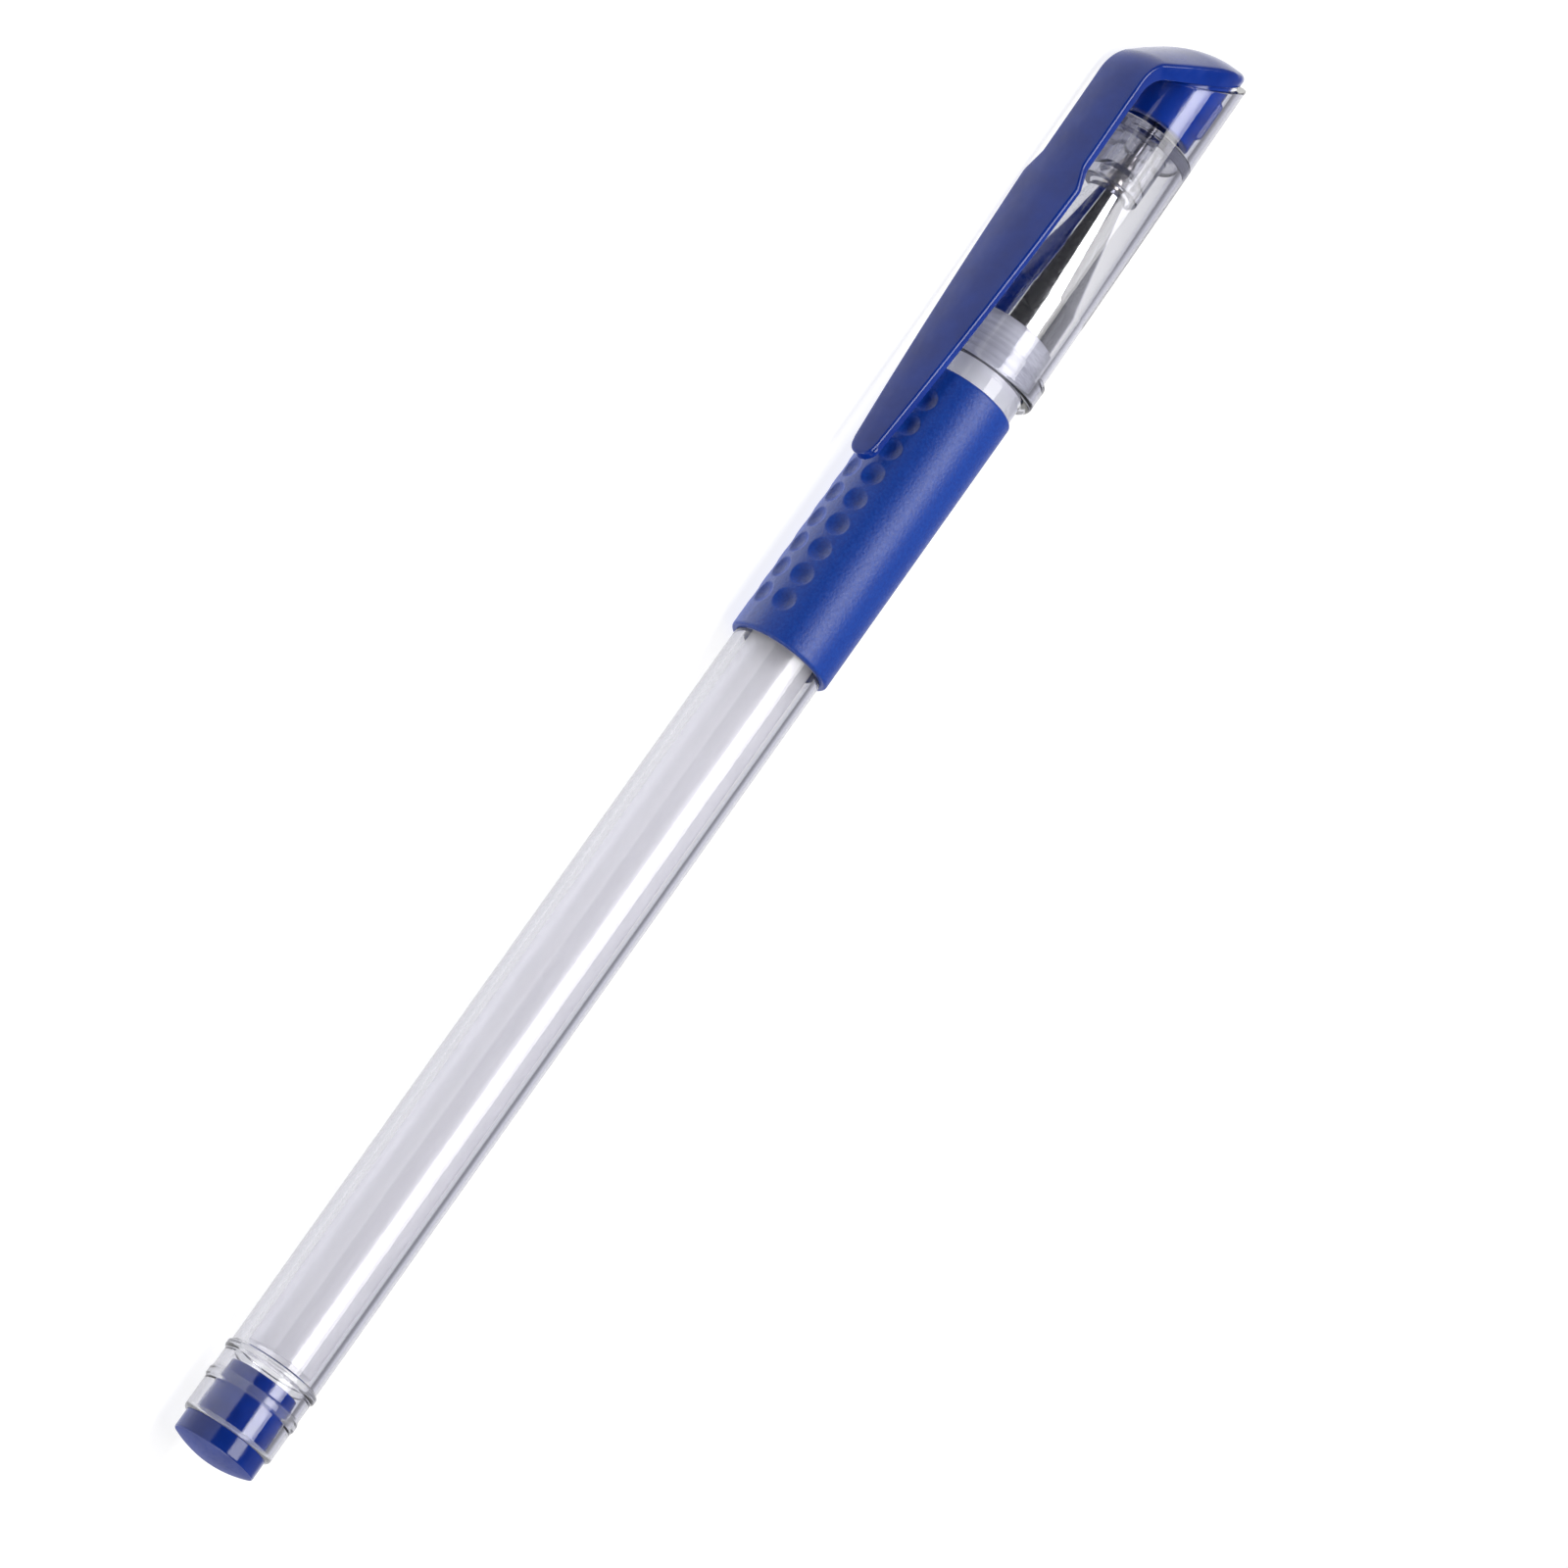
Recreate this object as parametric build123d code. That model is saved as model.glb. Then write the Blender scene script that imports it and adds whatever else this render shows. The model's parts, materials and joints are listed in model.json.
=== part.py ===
from build123d import *
import os
from math import acos, asin, atan2, cos, degrees, hypot, radians, sin, tan

# A capped pen whose point is a steel needle: a clear barrel with a rubber grip, a chromed
# nose cone on a threaded neck, an empty refill that carries the needle, and a clear cap
# with a blue top and pocket clip.
#
# Stations run along the pen's axis in millimetres from the crown of the end plug, so every
# piece is turned about the X axis. The clip points to +Y while the pieces are made. At the
# end the pen is rolled until it lies on the lip of its cap and the edge of its clip.

# End plug
crown_height = 0.84
crown_edge = 0.20
plug_flange = 1.75
plug_flange_r = 3.88
plug_land = 1.6
plug_body = 3.8
plug_taper = 0.19
plug_core_r = 2.2
plug_core_roof = 1.6

# Barrel: tail, slim tube, seat of the grip, collar, snap bead and threaded neck
tail_r = 4.24
tail_end_edge = 0.36
tail_bead_at = 3.04
tail_bead_length = 1.05
tail_bead_rise = 0.10
tube_bead_gap = 1.91
tube_bead_length = 0.85
tube_bead_rise = 0.18
tube_r_tail = 4.20
tube_r_front = 4.28
tube_length = 73.7
bore_r_tail = 3.40
bore_r_front = 3.57
grip_seat_r = 4.14
collar_r = 4.48
collar_length = 1.6
collar_edge = 0.10
neck_r = 4.19
neck_length = 1.40
snap_rise = 0.15
snap_length = 1.24
neck_front_length = 2.64
neck_edge = 0.18
bead_root = 0.4

# Grip sleeve
grip_length = 28.08
grip_r = 4.78
grip_end_edge = 0.24
dimple_rows = 9
dimple_columns = 3
dimple_pitch = 2.66
dimple_r = 1.07
dimple_depth = 0.27
dimple_first_angle = -54

# Refill, tip and needle
refill_start = 10.1
refill_tube_r = 3.07
refill_bore_r = 2.20
spigot_length = 7.0
holder_flange_r = 3.07
holder_flange = 1.2
holder_body_r = 2.60
holder_behind_shank = 2.2
holder_waist_r = 1.55
holder_shoulder_r = 1.30
tip_r = 1.04
holder_passage_r = 0.62
tip_held = 6.0
tip_exposed = 1.10
tip_cone = 2.46
tip_nose_r = 0.53
needle_r = 0.43
needle_held = 2.5
needle_length = 7.90
needle_waist_at = 4.00
needle_waist_r = 0.31
needle_taper_at = 6.10
needle_taper_r = 0.22
needle_point_r = 0.02

# Nose cone
cone_base_r = 3.96
cone_shoulder_r = 3.88
cone_base_length = 3.92
cone_length = 11.44
cone_end_r = 1.74
cone_end_edge = 0.10
cone_wall = 0.55
cone_end_wall = 2.2
shank_length = 5.5
shank_bore_r = 2.90
thread_pitch = 0.60
nose_turns = 2

# Cap shell
lip_r = 5.37
lip_length = 2.42
lip_edge = 0.30
lip_top_edge = 0.28
shell_r_low = 5.03
shell_r_top = 4.66
shell_above_plug = 5.95
shell_slant = 34.0
cap_bore_low_r = 4.38
cap_bore_top_r = 3.86
web_thickness = 1.10
seal_length = 4.53
seal_r = 2.70
seal_bore_r = 1.25
seal_mouth_r = 2.00
seal_taper = 0.7
seal_edge = 0.22

# Cap top: plug, crush ribs, domed plate and the bend into the clip
top_plug_r = 3.53
top_plug_gap = 0.85
top_cavity_r = 2.75
top_roof = 1.75
crush_ribs = 3
crush_rib_width = 0.40
crush_rib_length = 3.6
crush_rib_lead = 1.2
crush_rib_first_angle = -12
dome_gap = 0.35
dome_r = 3.97
dome_axis_rise = 2.50
dome_back_rise = 1.45
dome_corner_drop = 5.65
dome_crest_round = 14.0
dome_bend_r = 5.2
dome_depth = 3.4
dome_inner_bend_r = 5.6
crown_r = 12.0

# Clip arm: widths, and reach of its outer face from the axis
arm_root_drop = 4.25
arm_root_reach = 7.90
arm_middle_reach = 7.52
arm_tip_reach = 7.18
arm_root_thickness = 1.17
arm_tip_thickness = 1.02
arm_overhang = 13.07
arm_root_width = 4.86
arm_shoulder_width = 6.36
arm_shoulder_start = 18.53
arm_shoulder_end = 16.43
arm_shoulder_round = 1.2
arm_mid_width = 4.75
arm_mid_height = 1.0
arm_tip_width = 2.70
arm_tip_round = 1.25

# Clearances, and the length by which a cutter runs past what it cuts
press_gap = 0.01
running_gap = 0.05
seat_gap = 0.05
lip_gap = 0.39
dome_overlap = 0.5
through = 1.0

# Stations that follow from the lengths above
barrel_start = crown_height + plug_flange
tail_bead_start = barrel_start + tail_bead_at
tube_bead_start = tail_bead_start + tail_bead_length + tube_bead_gap
tube_start = tube_bead_start + tube_bead_length
grip_start = tube_start + tube_length
grip_end = grip_start + grip_length
collar_end = grip_end + collar_length
snap_start = collar_end + neck_length
snap_end = snap_start + snap_length
barrel_end = snap_end + neck_front_length
shoulder = barrel_end + cone_base_length
cone_end = shoulder + cone_length
tip_shoulder = cone_end + tip_exposed
tip_end = tip_shoulder + tip_cone
needle_end = tip_end + needle_length
nose_travel = thread_pitch * nose_turns
lip_start = collar_end + lip_gap
lip_end = lip_start + lip_length
seal_start = cone_end + seat_gap
web_start = seal_start + seal_length
web_end = web_start + web_thickness
top_plug_start = web_end + top_plug_gap
shell_axis_end = top_plug_start + shell_above_plug
dome_axis = shell_axis_end + dome_axis_rise
dome_back = dome_axis + dome_back_rise
dome_corner = dome_axis - dome_corner_drop
arm_root = dome_corner - arm_root_drop
arm_tip = lip_start - arm_overhang
slant = tan(radians(shell_slant))


def turned(*corners):
    """Solid turned about the axis from (station, radius) corners, with an optional broken edge third."""
    face = make_face(Polyline([corner[:2] for corner in corners], close=True))
    for corner in corners:
        if len(corner) == 3:
            spot = face.vertices().sort_by_distance((corner[0], corner[1], 0))[0]
            face = chamfer(spot, corner[2])
    return revolve(face, Axis.X)


def rod(start, end, radius):
    """Plain round bar between two stations."""
    return turned((start, 0), (start, radius), (end, radius), (end, 0))


def bead(start, length, radius, rise):
    """Rounded ring that stands proud of a tube of the given radius."""
    end = start + length
    crest = ThreePointArc((start, radius), (start + length / 2, radius + rise), (end, radius))
    root = radius - bead_root
    foot = Polyline((end, radius), (end, root), (start, root), (start, radius))
    return revolve(make_face(crest + foot), Axis.X)


def make_end_plug():
    """Domed blue plug: a flange against the barrel, a snug land, and a tapered cored body."""
    land_end = barrel_start + plug_land
    body_end = land_end + plug_body
    land_r = bore_r_tail - press_gap
    crown_radius = (crown_height**2 + plug_flange_r**2) / (2 * crown_height)
    crown_angle = degrees(asin(plug_flange_r / crown_radius))
    crown = CenterArc((crown_radius, 0), crown_radius, 180, -crown_angle)
    side = Polyline(
        (crown_height, plug_flange_r),
        (barrel_start, plug_flange_r),
        (barrel_start, land_r),
        (land_end, land_r),
        (body_end, land_r - plug_taper),
        (body_end, 0),
        (0, 0),
    )
    outline = make_face(crown + side)
    rim = outline.vertices().sort_by_distance((crown_height, plug_flange_r, 0))[0]
    body = revolve(chamfer(rim, crown_edge), Axis.X)
    return body - rod(crown_height + plug_core_roof, body_end + through, plug_core_r)


def make_barrel():
    """Clear barrel, moulded in one piece and open at both ends."""
    outside = turned(
        (barrel_start, 0),
        (barrel_start, tail_r, tail_end_edge),
        (tube_bead_start, tail_r),
        (tube_start, tube_r_tail),
        (grip_start, tube_r_front),
        (grip_start, grip_seat_r),
        (grip_end, grip_seat_r),
        (grip_end, collar_r),
        (collar_end, collar_r, collar_edge),
        (collar_end, neck_r),
        (barrel_end - neck_edge, neck_r),
        (barrel_end, neck_r - neck_edge),
        (barrel_end, 0),
    )
    outside += bead(tail_bead_start, tail_bead_length, tail_r, tail_bead_rise)
    outside += bead(tube_bead_start, tube_bead_length, tail_r, tube_bead_rise)
    outside += bead(snap_start, snap_length, neck_r, snap_rise)
    bore = turned(
        (barrel_start - through, 0),
        (barrel_start - through, bore_r_tail),
        (tube_start, bore_r_tail),
        (grip_end, bore_r_front),
        (barrel_end + through, bore_r_front),
        (barrel_end + through, 0),
    )
    return outside - bore


def make_grip_sleeve():
    """Rubber sleeve in the barrel's recess, with columns of shallow round dimples."""
    inner_r = grip_seat_r + press_gap
    sleeve = turned(
        (grip_start + press_gap, inner_r),
        (grip_start + press_gap, grip_r, grip_end_edge),
        (grip_end - press_gap, grip_r, grip_end_edge),
        (grip_end - press_gap, inner_r),
    )
    ball_r = (dimple_r**2 + dimple_depth**2) / (2 * dimple_depth)
    ball_reach = grip_r + ball_r - dimple_depth
    first_row = grip_start + (grip_length - (dimple_rows - 1) * dimple_pitch) / 2
    column_angle = degrees(dimple_pitch / grip_r)
    balls = []
    for column in range(dimple_columns):
        turn = dimple_first_angle + column * column_angle
        for row in range(dimple_rows):
            spot = Pos(first_row + row * dimple_pitch, 0, 0) * Rot(turn, 0, 0) * Pos(0, ball_reach, 0)
            balls.append(spot * Sphere(ball_r))
    return sleeve - balls


def make_refill_tube():
    """Empty translucent tube, open at both ends."""
    end = holder_start()
    bore = rod(refill_start - through, end + through, refill_bore_r)
    return rod(refill_start, end, refill_tube_r) - bore


def holder_start():
    """Station of the holder's flange, against which the refill tube butts."""
    return barrel_end - shank_length - holder_behind_shank - holder_flange


def tip_start():
    """Rear end of the metal tip, inside its holder."""
    return cone_end - tip_held


def make_tip_holder():
    """Moulded connector: spigot in the tube, flange, and a body that tapers to the tip."""
    start = holder_start()
    nose_end = cone_end - cone_end_wall - running_gap
    holder = turned(
        (start - spigot_length, 0),
        (start - spigot_length, refill_bore_r - press_gap),
        (start, refill_bore_r - press_gap),
        (start, holder_flange_r),
        (start + holder_flange, holder_flange_r),
        (start + holder_flange, holder_body_r),
        (shoulder, holder_body_r),
        (tip_start(), holder_waist_r),
        (nose_end, holder_shoulder_r),
        (nose_end, 0),
    )
    passage = rod(start - spigot_length - through, tip_start() + through, holder_passage_r)
    return holder - passage - rod(tip_start(), nose_end + through, tip_r + press_gap)


def make_tip_body():
    """Turned metal tip: a cylinder held in the holder and a short cone, bored for the needle."""
    body = turned(
        (tip_start(), 0),
        (tip_start(), tip_r),
        (tip_shoulder, tip_r),
        (tip_end, tip_nose_r),
        (tip_end, 0),
    )
    return body - rod(tip_end - needle_held, tip_end + through, needle_r + press_gap)


def make_needle():
    """Steel needle whose exposed length is ground in three ever steeper tapers to its point."""
    root = tip_end - needle_held
    return turned(
        (root, 0),
        (root, needle_r),
        (tip_end, needle_r),
        (tip_end + needle_waist_at, needle_waist_r),
        (tip_end + needle_taper_at, needle_taper_r),
        (needle_end, needle_point_r),
        (needle_end, 0),
    )


def make_nose_cone():
    """Chromed cone with a crisp shoulder, hollow behind, on a shank that screws into the neck."""
    shank_r = bore_r_front - running_gap
    start = barrel_end - shank_length
    outside = turned(
        (start, 0),
        (start, shank_r),
        (barrel_end, shank_r),
        (barrel_end, cone_base_r),
        (shoulder, cone_shoulder_r),
        (cone_end, cone_end_r, cone_end_edge),
        (cone_end, 0),
    )
    slope = (cone_shoulder_r - cone_end_r) / cone_length
    neck_station = cone_end - cone_end_wall
    neck_r_inside = cone_end_r + slope * cone_end_wall - cone_wall
    inside = turned(
        (start - through, 0),
        (start - through, shank_bore_r),
        (shoulder, shank_bore_r),
        (neck_station, neck_r_inside),
        (neck_station, tip_r + running_gap),
        (cone_end + through, tip_r + running_gap),
        (cone_end + through, 0),
    )
    return outside - inside


def beyond_plane(height):
    """Block of everything above the slanting plane that crosses the axis at a height."""
    reach = dome_back - lip_start
    return Pos(height, 0, 0) * Rot(0, 0, shell_slant) * Pos(reach / 2, 0, 0) * Box(reach, reach, reach)


def make_cap_shell():
    """Clear shell with its lip, cut off aslant at the top, with an inner web and seal tube."""
    top = shell_axis_end + slant * shell_r_top
    outside = turned(
        (lip_start, 0),
        (lip_start, lip_r, lip_edge),
        (lip_end, lip_r, lip_top_edge),
        (lip_end, shell_r_low),
        (top, shell_r_top),
        (top, 0),
    )
    lower_bore = turned(
        (lip_start - through, 0),
        (lip_start - through, cap_bore_low_r),
        (shoulder, cap_bore_low_r),
        (web_start, cap_bore_top_r),
        (web_start, 0),
    )
    mouth_end = seal_start + nose_travel + seat_gap
    seal = turned(
        (seal_start, seal_mouth_r),
        (seal_start, seal_r, seal_edge),
        (web_end, seal_r),
        (web_end, seal_bore_r),
        (mouth_end + seal_taper, seal_bore_r),
        (mouth_end, seal_mouth_r),
    )
    shell = outside - lower_bore + seal
    shell -= rod(mouth_end + seal_taper, web_end + through, seal_bore_r)
    shell -= rod(web_end, top + through, cap_bore_top_r)
    return shell - beyond_plane(shell_axis_end)


def crown_drop(half_width):
    """How far the crowned outer face has fallen at a given distance from its crest."""
    return crown_r - (crown_r**2 - half_width**2) ** 0.5


def arm_face():
    """Crest of the clip arm's outer face, from its root to its tip, in the plane of the clip."""
    middle = (arm_root + arm_tip) / 2
    return ThreePointArc(
        (arm_root, arm_root_reach), (middle, arm_middle_reach), (arm_tip, arm_tip_reach)
    )


def dome_face():
    """Crest of the dome, from its high back edge over the bend to the clip arm's root."""
    back = (dome_back, -dome_r)
    axis = (dome_axis, 0)
    corner = (dome_corner, arm_root_reach)
    root = (arm_root, arm_root_reach)
    return FilletPolyline(back, axis, corner, root, radius=[dome_crest_round, dome_bend_r])


def crowned(crest, width, depth):
    """Slab below a crest line, with an outer face that falls away evenly to both sides."""
    half = width / 2
    edge = -crown_drop(half)
    top = ThreePointArc((-half, edge), (0, 0), (half, edge))
    rest = Polyline((half, edge), (half, -depth), (-half, -depth), (-half, edge))
    along = crest % 0
    section = Plane(origin=crest @ 0, x_dir=Vector(0, 0, 1), z_dir=along)
    if section.y_dir.Y * along.X - section.y_dir.X * along.Y > 0:
        section = Plane(origin=crest @ 0, x_dir=Vector(0, 0, -1), z_dir=along)
    return sweep(section * make_face(top + rest), path=crest)


def plate(outline, half_thickness):
    """Flat outline in the clip's plane, thickened to both sides of it."""
    return extrude(outline, half_thickness, both=True)


def below_dome():
    """Everything under the dome: its flat slanting underside and the inside of the bend."""
    far = 2 * dome_r
    inner_reach = arm_root_reach - arm_root_thickness
    plane_height = shell_axis_end + dome_gap
    corner = (plane_height - slant * inner_reach, inner_reach)
    outline = make_face(
        Polyline(
            (arm_root - far, inner_reach),
            corner,
            (plane_height + slant * far, -far),
            (arm_root - far, -far),
            close=True,
        )
    )
    spot = outline.vertices().sort_by_distance((*corner, 0))[0]
    return plate(fillet(spot, dome_inner_bend_r), far)


def dome_plan():
    """View of the dome along the axis: round behind, with flanks that run tangent to the neck."""
    half = arm_root_width / 2
    neck_reach = arm_root_reach - arm_root_thickness
    angle = atan2(half, neck_reach) + acos(dome_r / hypot(half, neck_reach))
    flank = (dome_r * cos(angle), dome_r * sin(angle))
    opposite = (flank[0], -flank[1])
    out = arm_root_reach + through
    sides = Polyline(
        flank, (neck_reach, half), (out, half), (out, -half), (neck_reach, -half), opposite
    )
    outline = make_face(ThreePointArc(opposite, (-dome_r, 0), flank) + sides)
    along_pen = Plane(origin=(arm_root, 0, 0), x_dir=(0, 1, 0), z_dir=(1, 0, 0))
    return extrude(along_pen * outline, dome_back - arm_root + through)


def crush_rib_set():
    """Short ribs that wedge the plug in the shell's bore."""
    start = top_plug_start + crush_rib_lead
    reach = cap_bore_top_r - press_gap
    root = (top_plug_r + top_cavity_r) / 2
    bar = Pos(start + crush_rib_length / 2, (reach + root) / 2, 0) * Box(
        crush_rib_length, reach - root, crush_rib_width
    )
    turns = [crush_rib_first_angle + index * 360 / crush_ribs for index in range(crush_ribs)]
    return [Rot(turn, 0, 0) * bar for turn in turns]


def make_cap_top():
    """Blue top of the cap: a hollow ribbed plug, the domed plate, and the bend of the clip."""
    dome = crowned(dome_face(), 2 * dome_r + through, dome_depth) - below_dome()
    dome = dome & dome_plan()
    plug = rod(top_plug_start, dome_back, top_plug_r)
    plug -= beyond_plane(shell_axis_end + dome_gap + dome_overlap)
    cavity = rod(top_plug_start - through, dome_back, top_cavity_r)
    cavity -= beyond_plane(dome_axis - top_roof)
    return dome + plug + crush_rib_set() - cavity


def arm_front():
    """Outline of the clip arm seen from outside: neck, shoulders, long taper and round tip."""
    root = arm_root_width / 2
    wide = arm_shoulder_width / 2
    neck_end = lip_start + arm_shoulder_start
    wide_start = lip_start + arm_shoulder_end
    middle = lip_start + arm_mid_height
    tip_start = arm_tip + arm_tip_round
    half_tip = arm_tip_width / 2
    neck = Polyline((arm_root, 0), (arm_root, root), (neck_end, root), (wide_start, wide))
    taper = ThreePointArc((wide_start, wide), (middle, arm_mid_width / 2), (tip_start, half_tip))
    tip = EllipticalCenterArc((tip_start, 0), arm_tip_round, half_tip, start_angle=90, arc_size=90)
    half = make_face(neck + taper + tip + Line((arm_tip, 0), (arm_root, 0)))
    front = half + mirror(half, Plane.XZ)
    for x, y in ((neck_end, root), (neck_end, -root), (wide_start, wide), (wide_start, -wide)):
        spot = front.vertices().sort_by_distance((x, y, 0))[0]
        front = fillet(spot, arm_shoulder_round)
    return front


def make_clip_arm():
    """Springy arm of the clip: crowned outside, flat inside, cut to its front outline."""
    middle = (arm_root + arm_tip) / 2
    mean_thickness = (arm_root_thickness + arm_tip_thickness) / 2
    inside = ThreePointArc(
        (arm_root, arm_root_reach - arm_root_thickness),
        (middle, arm_middle_reach - mean_thickness),
        (arm_tip, arm_tip_reach - arm_tip_thickness),
    )
    below = make_face(
        inside
        + Polyline(
            (arm_tip, arm_tip_reach - arm_tip_thickness),
            (arm_tip, 0),
            (arm_root, 0),
            (arm_root, arm_root_reach - arm_root_thickness),
        )
    )
    band = crowned(arm_face(), arm_shoulder_width + through, 2 * arm_root_thickness)
    band -= plate(below, arm_shoulder_width)
    through_clip = Plane(origin=(0, 0, 0), x_dir=(1, 0, 0), z_dir=(0, 1, 0))
    return band & extrude(through_clip * arm_front(), 2 * arm_root_reach)


def rest_roll():
    """Roll about the axis at which the pen lies on the cap's lip and the clip's shoulder."""
    half = arm_shoulder_width / 2
    along = (arm_root - lip_start - arm_shoulder_end) / (arm_root - arm_tip)
    reach = (arm_face() @ along).Y - crown_drop(half)
    return degrees(asin(lip_r / hypot(reach, half)) - atan2(half, reach))


def main():
    pieces = {
        "barrel": make_barrel(),
        "end_plug": make_end_plug(),
        "grip_sleeve": make_grip_sleeve(),
        "refill_tube": make_refill_tube(),
        "tip_holder": make_tip_holder(),
        "tip_body": make_tip_body(),
        "needle": make_needle(),
        "nose_cone": make_nose_cone(),
        "cap_shell": make_cap_shell(),
        "cap_top": make_cap_top(),
        "clip_arm": make_clip_arm(),
    }
    rolled = {name: Rot(-rest_roll(), 0, 0) * piece for name, piece in pieces.items()}
    box = Compound(list(rolled.values())).bounding_box()
    ground = Pos(-box.center().X, -box.center().Y, -box.min.Z)
    os.makedirs("parts", exist_ok=True)
    for name, piece in rolled.items():
        export_step(ground * piece, f"parts/{name}.step")
    print("axis at", ground.position, "roll", rest_roll())
    for name in ("grip_start", "collar_end", "lip_start", "barrel_end", "shoulder", "cone_end",
                 "tip_end", "needle_end", "arm_root", "arm_tip", "web_start"):
        print(name, round(globals()[name] + ground.position.X, 3))


main()
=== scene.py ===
import json

import bpy
import numpy as np
from mathutils import Matrix, Vector


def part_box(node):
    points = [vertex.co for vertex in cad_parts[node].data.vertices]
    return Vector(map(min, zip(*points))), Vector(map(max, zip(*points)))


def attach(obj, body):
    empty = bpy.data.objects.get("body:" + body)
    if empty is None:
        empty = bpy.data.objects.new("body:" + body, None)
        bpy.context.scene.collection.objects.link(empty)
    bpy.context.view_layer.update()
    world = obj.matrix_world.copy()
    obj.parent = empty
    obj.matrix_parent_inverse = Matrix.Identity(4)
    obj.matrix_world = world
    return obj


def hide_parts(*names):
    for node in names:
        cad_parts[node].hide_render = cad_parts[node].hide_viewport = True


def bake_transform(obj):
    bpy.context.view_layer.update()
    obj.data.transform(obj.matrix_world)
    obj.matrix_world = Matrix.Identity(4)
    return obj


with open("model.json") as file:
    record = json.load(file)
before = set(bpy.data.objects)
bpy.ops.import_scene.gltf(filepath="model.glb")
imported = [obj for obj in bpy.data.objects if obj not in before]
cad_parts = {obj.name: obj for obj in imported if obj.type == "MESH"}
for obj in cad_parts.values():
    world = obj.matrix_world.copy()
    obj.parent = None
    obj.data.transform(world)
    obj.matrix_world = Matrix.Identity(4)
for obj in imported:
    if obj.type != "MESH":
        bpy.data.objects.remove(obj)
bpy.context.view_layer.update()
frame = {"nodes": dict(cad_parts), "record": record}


# --- Clear barrel -------------------------------------------------------------------------
# One clear polystyrene moulding: two raised rings at the tail, a slim tube, a recess for the
# grip, a collar, a snap ring for the cap, and a neck with a thread inside for the metal cone.

MM = 0.001
crown_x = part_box("end_plug")[0].x
barrel_low, barrel_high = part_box("barrel")
axis_y = (barrel_low.y + barrel_high.y) / 2
axis_z = (barrel_low.z + barrel_high.z) / 2
joints = frame["record"]["behaviour"]["joints"]
clip_joint = [joint for joint in joints if joint["name"] == "clip_flex"][0]
side_way = -np.array(clip_joint["axis"])
clip_way = np.array((0.0, side_way[2], -side_way[1]))

# lengths are in mm, and a station is measured along the axis from the end plug's crown
BARREL_START = 2.59
TUBE_START = 9.44
GRIP_START = 83.14
GRIP_END = 111.22
COLLAR_END = 112.82
BARREL_END = 118.10
TAIL_R = 4.24
TUBE_START_R = 4.20
TUBE_END_R = 4.28
SEAT_R = 4.14
COLLAR_R = 4.48
NECK_R = 4.19
MOUTH_R = 4.01
TAIL_BORE_R = 3.40
NECK_BORE_R = 3.57
NECK_WALL_R = 3.80
# each ring: start, end, length of its sloping flank, and radius of its top
TAIL_RING = (5.72, 6.81, 0.26, 4.37)
SECOND_RING = (8.59, TUBE_START, 0.18, 4.42)
SNAP_RING = (114.22, 115.46, 0.33, 4.34)
THREAD_START = 113.20
THREAD_END = 117.70
THREAD_PITCH = 0.60
THREAD_DEPTH = 0.06
THREAD_STEP = THREAD_PITCH / 8
NECK_FROST = 1.0
TAIL_END_FROST = 0.35
RING_FROST = 0.16


def at(station, clipward, sideward):
    """Points of the row frame, in metres, from lengths in mm: the station along the axis, the reach
    out from the axis towards the clip, and the distance sideways."""
    row = np.multiply.outer(clipward, clip_way) + np.multiply.outer(sideward, side_way)
    row[..., 0] = station
    row *= MM
    row += (crown_x, axis_y, axis_z)
    return row


def rounded(*corners, closed=True, steps=6, hem=0.05):
    """Outline through (station, radius, rounding) corners, in mm. A corner is the circular arc that
    touches both of its sides and takes less than half of each, and a point a hair beyond each end
    of the arc keeps flat faces flat."""
    corners = np.array(corners, float)
    count = len(corners)
    points = []
    for index in range(count):
        here = corners[index, :2]
        radius = corners[index, 2]
        if radius == 0 or (not closed and index in (0, count - 1)):
            points.append(here[None])
            continue
        back = corners[index - 1, :2] - here
        ahead = corners[(index + 1) % count, :2] - here
        back_length, ahead_length = np.hypot(*back), np.hypot(*ahead)
        back, ahead = back / back_length, ahead / ahead_length
        half = np.arccos(np.clip(back @ ahead, -1, 1)) / 2
        reach = min(radius / np.tan(half), 0.45 * back_length, 0.45 * ahead_length)
        radius = reach * np.tan(half)
        middle = (back + ahead) / np.hypot(*(back + ahead))
        centre = here + middle * radius / np.sin(half)
        start, end = here + back * reach, here + ahead * reach
        turn = np.linspace(0, 1, steps)[:, None]
        sweep = np.pi - 2 * half
        from_start = np.sin((1 - turn) * sweep) * (start - centre)
        from_end = np.sin(turn * sweep) * (end - centre)
        arc = (from_start + from_end) / np.sin(sweep)
        hem_back = min(hem, 0.5 * (0.5 * back_length - reach) + 1e-3)
        hem_ahead = min(hem, 0.5 * (0.5 * ahead_length - reach) + 1e-3)
        points.append(np.vstack((start + back * hem_back, centre + arc, end + ahead * hem_ahead)))
    return np.vstack(points)


def ring(start, end, flank, top_r, foot_r, after_r, foot_round, top_round):
    """Corners of a raised ring: a sloping flank up to a flat top, and one down to the radius after it."""
    return (
        (start, foot_r, foot_round), (start + flank, top_r, top_round),
        (end - flank, top_r, top_round), (end, after_r, foot_round),
    )


def signed_volumes(vertices, triangles):
    """Six times the volume between the origin and each triangle, negative where it faces inwards."""
    first, second, third = (vertices[triangles[:, corner]] for corner in range(3))
    return np.einsum("ij,ij->i", first, np.cross(second, third))


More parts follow.
